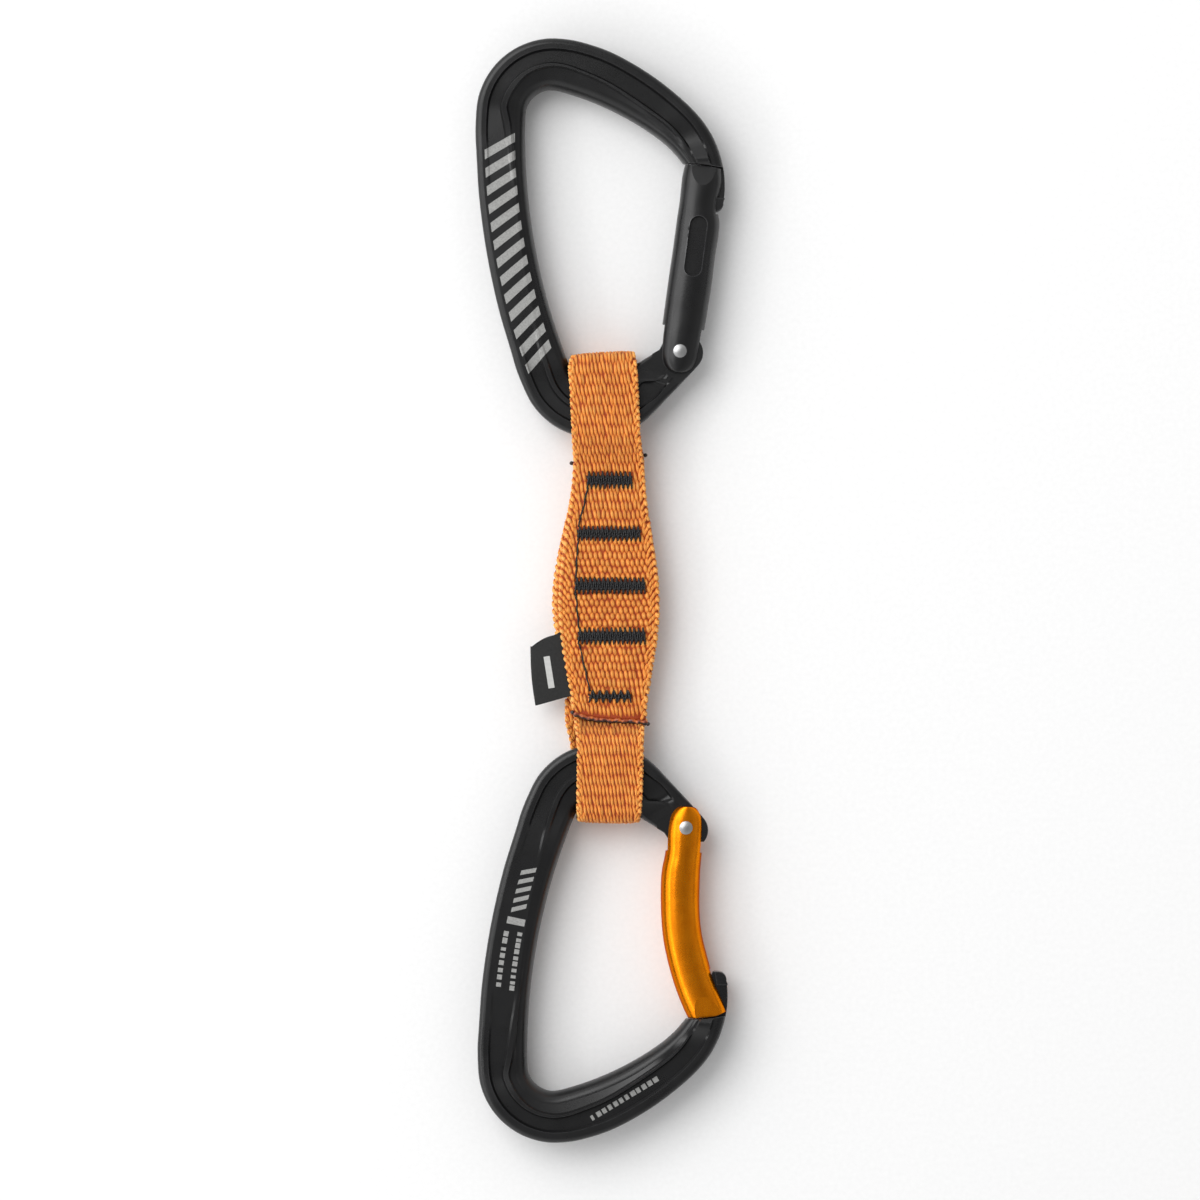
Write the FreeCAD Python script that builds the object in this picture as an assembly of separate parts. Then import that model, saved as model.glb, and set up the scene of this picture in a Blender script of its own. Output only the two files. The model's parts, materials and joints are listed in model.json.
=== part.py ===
import FreeCAD, Part
import math
import os
from FreeCAD import Vector

# A climbing quickdraw lying flat: two forged carabiners joined by a sewn sling.
# Millimetres.  X runs across the sling, Y along it towards the straight-gate carabiner, Z up.

# ---- where things lie -------------------------------------------------------------------------
MID_PLANE = 5.55           # height of both carabiners' middle plane above the ground
UPPER_ORIGIN = (18.97, 58.27)   # hinge corner of the upper carabiner's forging
LOWER_ORIGIN = (20.17, -58.67)  # hinge corner of the lower carabiner's forging
LOWER_TURN = -0.73         # degrees that the lower carabiner is turned in its loop
LOWER_PIN = (0.25, -0.95)  # the lower carabiner's pin, in its forging's own frame

# ---- carabiner forging, in its own frame: gate on the +X side, bow at +Y ------------------------
# chains of tangent arcs: (radius, turn in degrees); a radius of 0 is a straight run of that length
OUTER_START, OUTER_HEADING = (10.54, 44.79), 100.23
OUTER_ARCS = [(26.01, 34.76), (71.67, 18.04), (41.15, 19.85), (18.90, 96.03),
              (176.83, 22.00), (18.86, 115.42), (0, 14.06)]
INNER_START, INNER_HEADING = (1.21, 45.10), 124.93
INNER_ARCS = [(30.20, 19.40), (72.13, 20.98), (6.31, 102.66), (148.96, 24.14),
              (6.69, 99.09), (0, 12.13)]
# the arcs that make up each stretch: bow, crown, spine, basket, hinge arm
OUTER_STRETCHES = [3, 1, 1, 1, 1]
INNER_STRETCHES = [2, 1, 1, 1, 1]
SECTIONS_PER_STRETCH = [10, 10, 8, 10, 8]

# along the forging: 0 nose, 1 crown, 2 spine, 3 basket, 4 hinge arm, 5 its end
THICKNESS = [(0, 8.6), (0.35, 10.2), (0.8, 11.0), (1.6, 11.0), (2.1, 9.2), (2.4, 8.4),
             (2.9, 8.0), (3.15, 7.7), (4.1, 7.7), (4.72, 4.6), (5, 4.6)]
RECESS_DEPTH = [(0, 0), (0.1, 0), (0.22, 1.4), (0.4, 1.5), (1.85, 1.5), (2.3, 0), (2.82, 0), (3.0, 1.2),
                (4.1, 1.2), (4.48, 1.0), (4.64, 0), (5, 0)]
RECESS_START = [(0, 2.7), (0.5, 2.5), (3.9, 2.7), (4.3, 1.9), (4.6, 2.2), (5, 2.4)]
RECESS_END = [(0, 6.8), (0.2, 6.9), (0.55, 7.2), (0.8, 7.0), (1.05, 6.2), (1.9, 6.0), (2.25, 8.6),
              (2.8, 7.6), (2.95, 6.5), (3.4, 6.2), (4.0, 7.0), (4.35, 7.2), (4.62, 4.2), (5, 4.4)]
RIDGE_WIDTH = [(0, 0.4), (0.8, 0.4), (1.3, 0.6), (1.7, 1.1), (2.0, 1.2), (2.25, 0.4), (2.8, 0.4),
               (3.0, 1.0), (3.6, 1.0), (4.1, 0.4), (5, 0.4)]
RIDGE_STEP = [(0, 0), (0.1, 0), (0.3, 0.9), (1.9, 0.9), (2.25, 0.15), (2.8, 0.1), (3.0, 0.7),
              (3.6, 0.7), (4.2, 0.1), (5, 0)]
OUTER_ROUND = [(0, 1.8), (0.6, 1.3), (2, 1.5), (3, 1.5), (4.2, 1.2), (4.8, 0.7), (5, 0.7)]
INNER_ROUND = [(0, 2.2), (0.6, 3.0), (1.8, 3.0), (2.4, 2.2), (3, 2.2), (4.0, 2.2), (4.8, 0.8),
               (5, 0.8)]
FLANGE_DROP = [(0, 0.3), (0.5, 1.3), (1.8, 1.3), (2.4, 0.3), (2.8, 0.3), (3.1, 1.0), (3.6, 1.0),
               (4.2, 0.4), (4.8, 0), (5, 0)]
RECESS_SLOPE = 0.5         # width of the slope on each side of the recess
RIDGE_SLOPE = 0.5          # width of the slope from the ridge down to the inner flank
RIDGE_GAP = 0.2            # least width of the ridge, and of the flank beside it

# ---- hinge and nose ---------------------------------------------------------------------------
TANG_THICKNESS = 4.6
TANG_SLOT_GAP = 0.2        # each side, between the tang and the gate's fork
CAM_RADIUS = 4.3           # tang radius under the closed gate's plunger
CAM_RISE = 1.23            # mm of plunger travel for each radian that the gate opens
NOSE_THICKNESS = 3.2
NOSE_BULB_THICKNESS = 4.8
NOSE_GAP = 0.25
NOSE_FACE_RADIUS = 45.75   # from the straight gate's pin to the face that the gate shuts under
GATE_END_GAP = 0.3

# ---- gates ------------------------------------------------------------------------------------
GATE_LEAN = 7.65           # degrees that the straight gate leans away from Y
GATE_HALF_HEIGHT = 4.6
GATE_SQUARENESS = 2.3      # 2 is a plain ellipse; more is fuller in the corners
GATE_HEEL = 5.2            # the gate's rounded heel beyond the pin
POCKET_WIDTH = 4.2
POCKET_LENGTH = 14.8
POCKET_CENTRE = 25.8
POCKET_DEPTH = 1.3
POCKET_SHIFT = 0.37        # sideways from the gate's line, away from the spine
FACET_SLOPE = 11           # degrees of the flat on the gate's end
FACET_DEPTH = 0.95
BENT_HEADING = 3.0         # degrees that the bent gate first leans towards the spine
BENT_STRAIGHT = 13.0
BENT_RADIUS = 62.0
BENT_TURN = 27.5

RIVET_RADIUS = 1.6
RIVET_DOME = 0.3
BODY_RIVET_GAP = 0.05      # the rivet turns freely in the forging
GATE_RIVET_GAP = 0.02      # and sits tightly in the gate
BORE_RADIUS = 1.9          # plunger bore in the gate
BORE_START = 6.0           # bottom of the fork's slot, from the pin
BORE_END = 20.7
PLUNGER_RADIUS = 1.8
PLUNGER_TIP_RADIUS = 1.2
PLUNGER_TIP_GAP = 0.2
PLUNGER_SHOULDER = 6.9
PLUNGER_HEAD_END = 9.5
PLUNGER_TAIL_END = 12.5
PLUNGER_TAIL_RADIUS = 0.8
SPRING_RADIUS = 1.3
SPRING_WIRE = 0.42
SPRING_TURNS = 9
SPRING_END_GAP = 0.35

# ---- sling ------------------------------------------------------------------------------------
WEB_THICKNESS = 1.5
STACK_BOTTOM = 3.3         # underside of the three sewn layers
UPPER_LOOP_X = (-7.9, 8.3)
LOWER_LOOP_X = (-6.1, 9.4)
LOOP_HALF_HEIGHT = 5.55
LOOP_CORNER = 3.6
LOOP_SLIT = 0.45           # half height of the hollow where the loop's two runs part
LOOP_SLIT_START = 1.4      # from the bending line to there
UPPER_LOOP_END = 57.6
LOWER_LOOP_END = -57.1
UPPER_FLEX_Y = 31.6        # where the webbing bends, just beyond the sewn middle
LOWER_FLEX_Y = -31.6
LOOP_FULL_Y = 4.6          # from the bending line to where the loop has its full height
MIDDLE_TOP = 29.8
MIDDLE_BOTTOM = -29.8
MIDDLE_RIGHT = 10.4
MIDDLE_LEFT = -7.1
MIDDLE_BULGE = 3.6
BULGE_CENTRE = -3.0
BULGE_HALF_LENGTH = 33.0
UNDER_LAYER_SHIFT = -1.4   # sideways step of the layers underneath, at the widest place

TACK_THREAD = 0.5          # how far the stitching stands out of the webbing
TACK_PITCH = 1.0
# centre height, left and right end, height of each row of stitching
TACKS = [(26.9, -3.7, 7.3, 4.0), (13.9, -6.0, 9.3, 3.6), (1.2, -6.7, 10.5, 3.9),
         (-11.1, -5.9, 10.5, 4.0), (-25.8, -3.2, 7.1, 2.9)]
JUMP_RADIUS = 0.25
LABEL_THICKNESS = 0.9
LABEL_CORNERS = [(-17.1, -13.6), (-10.2, -10.1), (-6.6, -25.4), (-15.9, -28.0)]


# ---- small helpers ------------------------------------------------------------------------------
def smooth_value(table, s):
    """The table's value at s, eased between its rows."""
    for (s0, v0), (s1, v1) in zip(table, table[1:]):
        if s <= s1:
            t = (s - s0) / (s1 - s0)
            return v0 + (v1 - v0) * t * t * (3 - 2 * t)
    return table[-1][1]


def polar(radius, degrees):
    return Vector(radius * math.cos(math.radians(degrees)), radius * math.sin(math.radians(degrees)), 0)


def spline(points):
    curve = Part.BSplineCurve()
    curve.interpolate(points)
    return curve.toShape()


def line(a, b):
    return Part.LineSegment(a, b).toShape()


def prism(edges, bottom, top):
    """A flat plate between two heights; the edges lie at height 0."""
    face = Part.Face(Part.Wire(edges))
    face.translate(Vector(0, 0, bottom))
    return face.extrude(Vector(0, 0, top - bottom))


def polygon(points, bottom, top):
    corners = [Vector(x, y, 0) for x, y in points]
    return prism([line(a, b) for a, b in zip(corners, corners[1:] + corners[:1])], bottom, top)


class ArcChain:
    """A path of tangent arcs and straight runs, walked by its length."""

    def __init__(self, start, heading, arcs):
        self.pieces = []
        point = Vector(start[0], start[1], 0)
        for radius, amount in arcs:
            length = amount if radius == 0 else radius * math.radians(amount)
            self.pieces.append((point, heading, radius, length))
            point = self.walk(point, heading, radius, length)
            heading += 0 if radius == 0 else amount
        self.end = point

    @staticmethod
    def walk(point, heading, radius, length):
        if radius == 0:
            return point + polar(length, heading)
        centre = point + polar(radius, heading + 90)
        return centre + polar(radius, heading - 90 + math.degrees(length / radius))

    def at(self, length):
        for point, heading, radius, piece in self.pieces:
            if length <= piece:
                return self.walk(point, heading, radius, length)
            length -= piece
        return self.end

    def marks(self, stretches):
        """The lengths at which the stretches begin and end."""
        lengths = [piece[3] for piece in self.pieces]
        totals = [0]
        for count in stretches:
            totals.append(totals[-1] + sum(lengths[:count]))
            lengths = lengths[count:]
        return totals


OUTER = ArcChain(OUTER_START, OUTER_HEADING, OUTER_ARCS)
INNER = ArcChain(INNER_START, INNER_HEADING, INNER_ARCS)


# ---- forging ------------------------------------------------------------------------------------
def rod_section(s):
    """The closed section of the forging at station s: an I-beam whose web fades in and out."""
    stretch = min(int(s), 4)
    part = s - stretch
    outer_marks = OUTER.marks(OUTER_STRETCHES)
    inner_marks = INNER.marks(INNER_STRETCHES)
    outer = OUTER.at(outer_marks[stretch] + part * (outer_marks[stretch + 1] - outer_marks[stretch]))
    inner = INNER.at(inner_marks[stretch] + part * (inner_marks[stretch + 1] - inner_marks[stretch]))
    width = (inner - outer).Length
    across = (inner - outer).normalize()
    half = smooth_value(THICKNESS, s) / 2
    depth = smooth_value(RECESS_DEPTH, s)
    start = smooth_value(RECESS_START, s)
    end = smooth_value(RECESS_END, s)
    edge = smooth_value(OUTER_ROUND, s)
    inner_round = smooth_value(INNER_ROUND, s)
    ridge = min(end + smooth_value(RIDGE_WIDTH, s), width - inner_round - RIDGE_SLOPE - RIDGE_GAP)
    end = min(end, ridge - RIDGE_GAP)
    step = smooth_value(RIDGE_STEP, s)
    inner_half = half - smooth_value(FLANGE_DROP, s)

    def at(u, z):
        return outer + across * u + Vector(0, 0, z)

    def side(sign):
        rounding = [at(edge * (1 - math.cos(a)), sign * (half - edge + edge * math.sin(a)))
                    for a in (0, math.pi / 8, math.pi / 4, 3 * math.pi / 8, math.pi / 2)]
        corners = [at(start, sign * half), at(start + RECESS_SLOPE, sign * (half - depth)),
                   at(end - RECESS_SLOPE, sign * (half - depth)), at(end, sign * half),
                   at(ridge, sign * half), at(ridge + RIDGE_SLOPE, sign * (half - step)),
                   at(width - inner_round, sign * inner_half)]
        return rounding, corners

    top_round, top = side(1)
    bottom_round, bottom = side(-1)
    inner_arc = [at(width - inner_round + inner_round * math.cos(a), inner_half * math.sin(a))
                 for a in [math.pi * (0.5 - k / 8) for k in range(9)]]
    edges = [line(bottom_round[0], top_round[0]), spline(top_round)]
    edges += [line(a, b) for a, b in zip([top_round[-1]] + top, top)]
    edges += [spline(inner_arc)]
    back = list(reversed(bottom))
    edges += [line(a, b) for a, b in zip(back, back[1:] + [bottom_round[-1]])]
    edges += [spline(list(reversed(bottom_round)))]
    return Part.Wire(edges)


def forged_rod():
    stations = []
    for stretch, count in enumerate(SECTIONS_PER_STRETCH):
        stations += [stretch + k / count for k in range(count)]
    return Part.makeLoft([rod_section(s) for s in stations + [5]], True, False)


NOSE_TIP = [Vector(10.6, 36.2, 0), Vector(10.0, 34.6, 0), Vector(8.6, 34.1, 0)]


def nose():
    """The keylock nose: a thin neck that the gate's end shuts over, with a thicker tip."""
    top, shoulder = Vector(9.2, 48.5, 0), Vector(10.54, 44.79, 0)
    inside = [Vector(7.3, 34.1, 0), Vector(6.6, 36.0, 0), Vector(5.3, 44.0, 0), Vector(5.0, 48.0, 0)]
    outline = [line(top, shoulder), Part.Arc(shoulder, Vector(10.95, 40.6, 0), NOSE_TIP[0]).toShape(),
               Part.Arc(*NOSE_TIP).toShape(), line(NOSE_TIP[2], inside[0])]
    outline += [line(a, b) for a, b in zip(inside, inside[1:] + [top])]
    neck = prism(outline, -NOSE_THICKNESS / 2, NOSE_THICKNESS / 2)
    step = [Vector(7.7, 34.05, 0), Vector(8.3, 37.3, 0), Vector(10.95, 37.3, 0)]
    bulb = [Part.Arc(*NOSE_TIP).toShape(), line(NOSE_TIP[2], step[0]), line(step[0], step[1]),
            line(step[1], step[2]), line(step[2], NOSE_TIP[0])]
    return neck.fuse(prism(bulb, -NOSE_BULB_THICKNESS / 2, NOSE_BULB_THICKNESS / 2))


def tang(pin, gate_direction):
    """The thin ear round the pin; its edge is a spiral cam under the gate's plunger."""
    cam = []
    for k in range(9):
        turn = -14 + 7 * k
        cam.append(pin + polar(CAM_RADIUS + CAM_RISE * math.radians(turn), gate_direction + turn))
    ear = [Vector(4.7, 2.4, 0), Vector(5.6, 0.4, 0), Vector(4.6, -3.2, 0)]
    shoulder = Vector(-5.0, 0.4, 0)
    inside = [Vector(-8.7, -6.6, 0), Vector(-1.0, -8.8, 0)]
    inner_end = INNER.end
    outer_end = OUTER.end
    outline = [Part.Arc(*ear).toShape(), line(ear[2], outer_end), line(outer_end, inside[1]),
               line(inside[1], inside[0]), line(inside[0], inner_end), line(inner_end, shoulder),
               line(shoulder, cam[-1]), spline(list(reversed(cam))), line(cam[0], ear[0])]
    return prism(outline, -TANG_THICKNESS / 2, TANG_THICKNESS / 2)


def nose_face_radius(pin):
    """How far the face above the gate's end is from this pin."""
    return NOSE_FACE_RADIUS - pin.y


def gate_end_room(pin, radius, height):
    """The round-ended room that the gate's end sweeps through, beside the bow's end."""
    sweep = Part.makeCylinder(radius, 2 * height, pin + Vector(0, 0, -height))
    return sweep.common(Part.makeBox(20, 16, 2 * height, Vector(-6, 32, -height)))


def forging(pin, gate_direction):
    rod = forged_rod().cut(gate_end_room(pin, nose_face_radius(pin), 8))
    body = rod.fuse([nose(), tang(pin, gate_direction)])
    bore = Part.makeCylinder(RIVET_RADIUS + BODY_RIVET_GAP, 20, pin + Vector(0, 0, -10))
    return body.cut(bore).removeSplitter()


# ---- gates ------------------------------------------------------------------------------------
def gate_section(point, heading, left, right, half_height):
    """An ellipse across the gate, from left to right of its line."""
    middle = point + polar((right - left) / 2, heading - 90)
    half_width = (left + right) / 2
    sideways = polar(1, heading - 90)
    points = []
    for k in range(16):
        a = 2 * math.pi * k / 16
        fullness = abs(math.cos(a)) ** GATE_SQUARENESS + abs(math.sin(a)) ** GATE_SQUARENESS
        squash = fullness ** (-1 / GATE_SQUARENESS)
        points.append(middle + sideways * (half_width * squash * math.cos(a))
                      + Vector(0, 0, half_height * squash * math.sin(a)))
    curve = Part.BSplineCurve()
    curve.interpolate(points, PeriodicFlag=True)
    return Part.Wire([curve.toShape()])


def gate_blank(path, stations):
    """The gate's outer shape; stations are (distance, left, right, half height)."""
    wires = []
    for distance, left, right, half_height in stations:
        point, heading = path(distance)
        wires.append(gate_section(point, heading, left, right, half_height))
    return Part.makeLoft(wires, True, False)


def heel_sections(left, right, half_height):
    """The rounded heel, from its end to the pin."""
    rows = []
    for k in range(5):
        a = math.radians(12 + 19.5 * k)
        rows.append((-GATE_HEEL * math.cos(a), left * math.sin(a) ** 0.62,
                     right * math.sin(a) ** 0.62, half_height * (0.9 + 0.1 * math.sin(a))))
    return rows


STRAIGHT_STATIONS = heel_sections(4.9, 4.9, 4.5) + [
    (3, 5.05, 5.05, 4.6), (6, 5.1, 5.2, 4.6), (12, 5.1, 5.4, 4.6), (20, 5.05, 5.5, 4.6),
    (28, 5.0, 5.55, 4.6), (31.5, 5.0, 5.5, 4.6), (34.5, 4.95, 4.85, 4.6), (39, 5.0, 4.7, 4.6),
    (44.6, 4.9, 4.5, 4.6), (46.5, 4.5, 4.4, 4.3)]
BENT_STATIONS = heel_sections(4.7, 4.4, 4.5) + [
    (3, 4.7, 4.4, 4.6), (6.5, 4.6, 4.3, 4.6), (9.5, 5.0, 4.2, 4.6), (16, 5.15, 4.3, 4.6),
    (22, 5.2, 4.2, 4.6), (29, 5.3, 4.25, 4.6), (36, 5.3, 4.3, 4.6), (41, 5.3, 4.3, 4.6),
    (45.6, 5.2, 4.3, 4.6), (47.5, 4.9, 4.1, 4.3)]


def straight_path(pin):
    return lambda distance: (pin + polar(distance, 90 - GATE_LEAN), 90 - GATE_LEAN)


def bent_path(pin):
    start = pin + polar(BENT_STRAIGHT, 90 + BENT_HEADING)

    def path(distance):
        if distance <= BENT_STRAIGHT:
            return pin + polar(distance, 90 + BENT_HEADING), 90 + BENT_HEADING
        turned = min(math.degrees((distance - BENT_STRAIGHT) / BENT_RADIUS), BENT_TURN)
        centre = start + polar(BENT_RADIUS, BENT_HEADING)
        heading = 90 + BENT_HEADING - turned
        point = centre + polar(BENT_RADIUS, 180 + BENT_HEADING - turned)
        rest = distance - BENT_STRAIGHT - BENT_RADIUS * math.radians(turned)
        return point + polar(rest, heading), heading

    return path


def nose_slot():
    """Room in the gate's end for the nose, open on the outer side."""
    neck = polygon([(4.3, 50), (5.9, 36.2), (6.3, 33.4), (16, 33.4), (16, 50)],
                   -NOSE_THICKNESS / 2 - NOSE_GAP, NOSE_THICKNESS / 2 + NOSE_GAP)
    bulb = polygon([(7.2, 33.4), (7.9, 37.9), (16, 37.9), (16, 33.4)],
                   -NOSE_BULB_THICKNESS / 2 - NOSE_GAP, NOSE_BULB_THICKNESS / 2 + NOSE_GAP)
    return neck.fuse(bulb)


def tip_facet(pin, path, sign):
    """A sloping flat on the gate's end, above or below."""
    reach = nose_face_radius(pin)
    point, heading = path(reach)
    wedge = Part.makeBox(12, 20, 6, Vector(-6, -10, 0))
    wedge.rotate(Vector(0, 0, 0), Vector(1, 0, 0), -FACET_SLOPE)
    if sign < 0:
        wedge = wedge.mirror(Vector(0, 0, 0), Vector(0, 0, 1))
    wedge.rotate(Vector(0, 0, 0), Vector(0, 0, 1), heading - 90)
    wedge.translate(point + Vector(0, 0, sign * (GATE_HALF_HEIGHT - FACET_DEPTH)))
    return wedge


def gate(pin, path, stations, direction, with_pocket):
    blank = gate_blank(path, stations)
    end_room = Part.makeCylinder(nose_face_radius(pin) - GATE_END_GAP, 30, pin + Vector(0, 0, -15))
    blank = blank.common(end_room)
    along = polar(1, direction)
    fork = Part.makeBox(BORE_START + 8, 20, TANG_THICKNESS + 2 * TANG_SLOT_GAP,
                        Vector(-8, -10, -TANG_THICKNESS / 2 - TANG_SLOT_GAP))
    fork.rotate(Vector(0, 0, 0), Vector(0, 0, 1), direction)
    fork.translate(pin)
    bore = Part.makeCylinder(BORE_RADIUS, BORE_END, pin, along)
    hole = Part.makeCylinder(RIVET_RADIUS + GATE_RIVET_GAP, 20, pin + Vector(0, 0, -10))
    cuts = [fork, bore, hole, nose_slot(), tip_facet(pin, path, 1), tip_facet(pin, path, -1)]
    if with_pocket:
        cuts += [thumb_pocket(pin, direction, 1), thumb_pocket(pin, direction, -1)]
    shape = blank
    for tool in cuts:
        shape = shape.cut(tool)
    return shape


def thumb_pocket(pin, direction, sign):
    """A round-ended pocket in the gate's face."""
    radius = POCKET_WIDTH / 2
    half = POCKET_LENGTH / 2 - radius
    edges = [line(Vector(-half, -radius, 0), Vector(half, -radius, 0)),
             Part.Arc(Vector(half, -radius, 0), Vector(half + radius, 0, 0), Vector(half, radius, 0)).toShape(),
             line(Vector(half, radius, 0), Vector(-half, radius, 0)),
             Part.Arc(Vector(-half, radius, 0), Vector(-half - radius, 0, 0),
                      Vector(-half, -radius, 0)).toShape()]
    floor = GATE_HALF_HEIGHT - POCKET_DEPTH
    pocket = prism(edges, floor, 8)
    if sign < 0:
        pocket = pocket.mirror(Vector(0, 0, 0), Vector(0, 0, 1))
    pocket.rotate(Vector(0, 0, 0), Vector(0, 0, 1), direction)
    pocket.translate(pin + polar(POCKET_CENTRE, direction) + polar(POCKET_SHIFT, direction - 90))
    return pocket


def rivet(pin):
    """The hinge pin, with a shallow dome at each end."""
    reach = GATE_HALF_HEIGHT + RIVET_DOME
    dome_radius = (RIVET_RADIUS ** 2 + RIVET_DOME ** 2) / (2 * RIVET_DOME)
    half = Part.makeCylinder(RIVET_RADIUS, reach)
    half = half.common(Part.makeSphere(dome_radius, Vector(0, 0, reach - dome_radius)))
    solid = half.fuse(half.mirror(Vector(0, 0, 0), Vector(0, 0, 1))).removeSplitter()
    solid.translate(pin)
    return solid


def turned(profile, pin, direction):
    """A body of revolution about the gate's line; the profile is (distance, radius) pairs."""
    points = [Vector(d, r, 0) for d, r in profile]
    points = [Vector(profile[0][0], 0, 0)] + points + [Vector(profile[-1][0], 0, 0)]
    wire = Part.Wire([line(a, b) for a, b in zip(points, points[1:] + points[:1])])
    solid = Part.Face(wire).revolve(Vector(0, 0, 0), Vector(1, 0, 0), 360)
    solid.rotate(Vector(0, 0, 0), Vector(0, 0, 1), direction)
    solid.translate(pin)
    return solid


def plunger(pin, direction):
    """The push pin between the spring and the tang: round tip, guided head, tail in the spring."""
    tip = CAM_RADIUS + PLUNGER_TIP_GAP
    stem = turned([(tip + PLUNGER_TIP_RADIUS, PLUNGER_TIP_RADIUS), (PLUNGER_SHOULDER, PLUNGER_TIP_RADIUS),
                   (PLUNGER_SHOULDER, PLUNGER_RADIUS), (PLUNGER_HEAD_END, PLUNGER_RADIUS),
                   (PLUNGER_HEAD_END, PLUNGER_TAIL_RADIUS), (PLUNGER_TAIL_END, PLUNGER_TAIL_RADIUS)],
                  pin, direction)
    dome = Part.makeSphere(PLUNGER_TIP_RADIUS, pin + polar(tip + PLUNGER_TIP_RADIUS, direction))
    return stem.fuse(dome).removeSplitter()


def spring(pin, direction):
    """The coil spring between the plunger's head and the end of the bore."""
    start = PLUNGER_HEAD_END + SPRING_END_GAP
    length = BORE_END - SPRING_END_GAP - start
    helix = Part.makeHelix(length / SPRING_TURNS, length, SPRING_RADIUS)
    circle = Part.Wire([Part.makeCircle(SPRING_WIRE / 2, Vector(SPRING_RADIUS, 0, 0), Vector(0, 1, 0))])
    coil = Part.Wire(helix).makePipeShell([circle], True, True)
    coil.rotate(Vector(0, 0, 0), Vector(0, 1, 0), 90)
    coil.rotate(Vector(0, 0, 0), Vector(0, 0, 1), direction)
    coil.translate(pin + polar(start, direction))
    return coil


# ---- sling ------------------------------------------------------------------------------------
def loop(x_range, flex_y, flex_z, end_y):
    """A webbing loop seen from the side: a round root, spreading walls and a rounded end."""
    sign = 1 if end_y > flex_y else -1
    reach = abs(end_y - flex_y)

    def outline(root, half_height, corner, root_start, end):
        rise = LOOP_FULL_Y + root_start / 2
        offset = MID_PLANE - flex_z
        upper = [Vector(0, root_start, root), Vector(0, rise, half_height + offset),
                 Vector(0, end - corner, half_height + offset), Vector(0, end, half_height + offset - corner)]
        lower = [Vector(0, root_start, -root), Vector(0, rise, -half_height + offset),
                 Vector(0, end - corner, -half_height + offset),
                 Vector(0, end, -half_height + offset + corner)]
        diagonal = corner * math.sqrt(0.5)
        bend_top = Vector(0, end - corner + diagonal, upper[2].z - corner + diagonal)
        bend_bottom = Vector(0, end - corner + diagonal, lower[2].z + corner - diagonal)
        back = Part.Arc(upper[0], Vector(0, root_start - root, 0), lower[0]).toShape()
        return Part.Wire([back, line(lower[0], lower[1]), line(lower[1], lower[2]),
                          Part.Arc(lower[2], bend_bottom, lower[3]).toShape(), line(lower[3], upper[3]),
                          Part.Arc(upper[3], bend_top, upper[2]).toShape(), line(upper[2], upper[1]),
                          line(upper[1], upper[0])])

    outer = Part.Face(outline(WEB_THICKNESS, LOOP_HALF_HEIGHT, LOOP_CORNER, 0, reach))
    inner = Part.Face(outline(LOOP_SLIT, LOOP_HALF_HEIGHT - WEB_THICKNESS, LOOP_CORNER - WEB_THICKNESS,
                              LOOP_SLIT_START, reach - WEB_THICKNESS))
    width = x_range[1] - x_range[0]
    ring = outer.extrude(Vector(width, 0, 0)).cut(inner.extrude(Vector(width, 0, 0)))
    if sign < 0:
        ring = ring.mirror(Vector(0, 0, 0), Vector(0, 1, 0))
    ring.translate(Vector(x_range[0], flex_y, flex_z))
    return ring


def bulge(y):
    """How far the sewn middle is spread at this height, 0 to 1."""
    along = (y - BULGE_CENTRE) / BULGE_HALF_LENGTH
    return math.cos(math.pi / 2 * max(-1, min(1, along))) ** 2


def layer(top, bottom, shift, z_bottom, z_top):
    """One or more webbing layers, wide in the middle and stepped sideways by the shift there."""
    heights = [bottom + (top - bottom) * k / 8 for k in range(9)]
    right = [Vector(MIDDLE_RIGHT + (shift + MIDDLE_BULGE) * bulge(y), y, 0) for y in heights]
    left = [Vector(MIDDLE_LEFT + (shift - MIDDLE_BULGE) * bulge(y), y, 0) for y in reversed(heights)]
    edges = [spline(right), line(right[-1], left[0]), spline(left), line(left[-1], right[0])]
    return prism(edges, z_bottom, z_top)


def sewn_middle():
    """The three sewn layers of the sling's middle: two underneath and the front one."""
    front_bottom = STACK_BOTTOM + 2 * WEB_THICKNESS
    under = layer(MIDDLE_TOP, MIDDLE_BOTTOM, UNDER_LAYER_SHIFT, STACK_BOTTOM, front_bottom)
    front = layer(MIDDLE_TOP, MIDDLE_BOTTOM, 0, front_bottom, front_bottom + WEB_THICKNESS)
    return under.fuse(front)


def bar_tack(y, left, right, height):
    """One zigzag row of stitching, as it stands out on the front and on the back."""
    count = round((right - left) / TACK_PITCH)
    pitch = (right - left) / count
    upper = []
    lower = []
    for k in range(2 * count + 1):
        swing = height * (0.5 if k % 2 else 0.36)
        upper.append((left + k * pitch / 2, y + swing))
        lower.append((left + k * pitch / 2, y - height * 0.86 + swing))
    outline = upper + list(reversed(lower))
    front_face = STACK_BOTTOM + 3 * WEB_THICKNESS
    front = polygon(outline, front_face, front_face + TACK_THREAD)
    back = polygon(outline, STACK_BOTTOM - TACK_THREAD, STACK_BOTTOM)
    return Part.makeCompound([front, back])


def jump_thread(upper_tack, lower_tack):
    """The sewing thread that runs down the front from one row to the next."""
    z = STACK_BOTTOM + 3 * WEB_THICKNESS + JUMP_RADIUS
    start = Vector(upper_tack[1] + 0.3, upper_tack[0] - upper_tack[3] * 0.5 - JUMP_RADIUS, z)
    end = Vector(lower_tack[1] + 0.3, lower_tack[0] + lower_tack[3] * 0.5 + JUMP_RADIUS, z)
    return Part.makeCylinder(JUMP_RADIUS, (end - start).Length, start, end - start)


def label_tab(middle):
    """The folded tab that stands out of the sling's left side."""
    bottom = STACK_BOTTOM + 2 * WEB_THICKNESS
    return polygon(LABEL_CORNERS, bottom, bottom + LABEL_THICKNESS).cut(middle)


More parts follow.
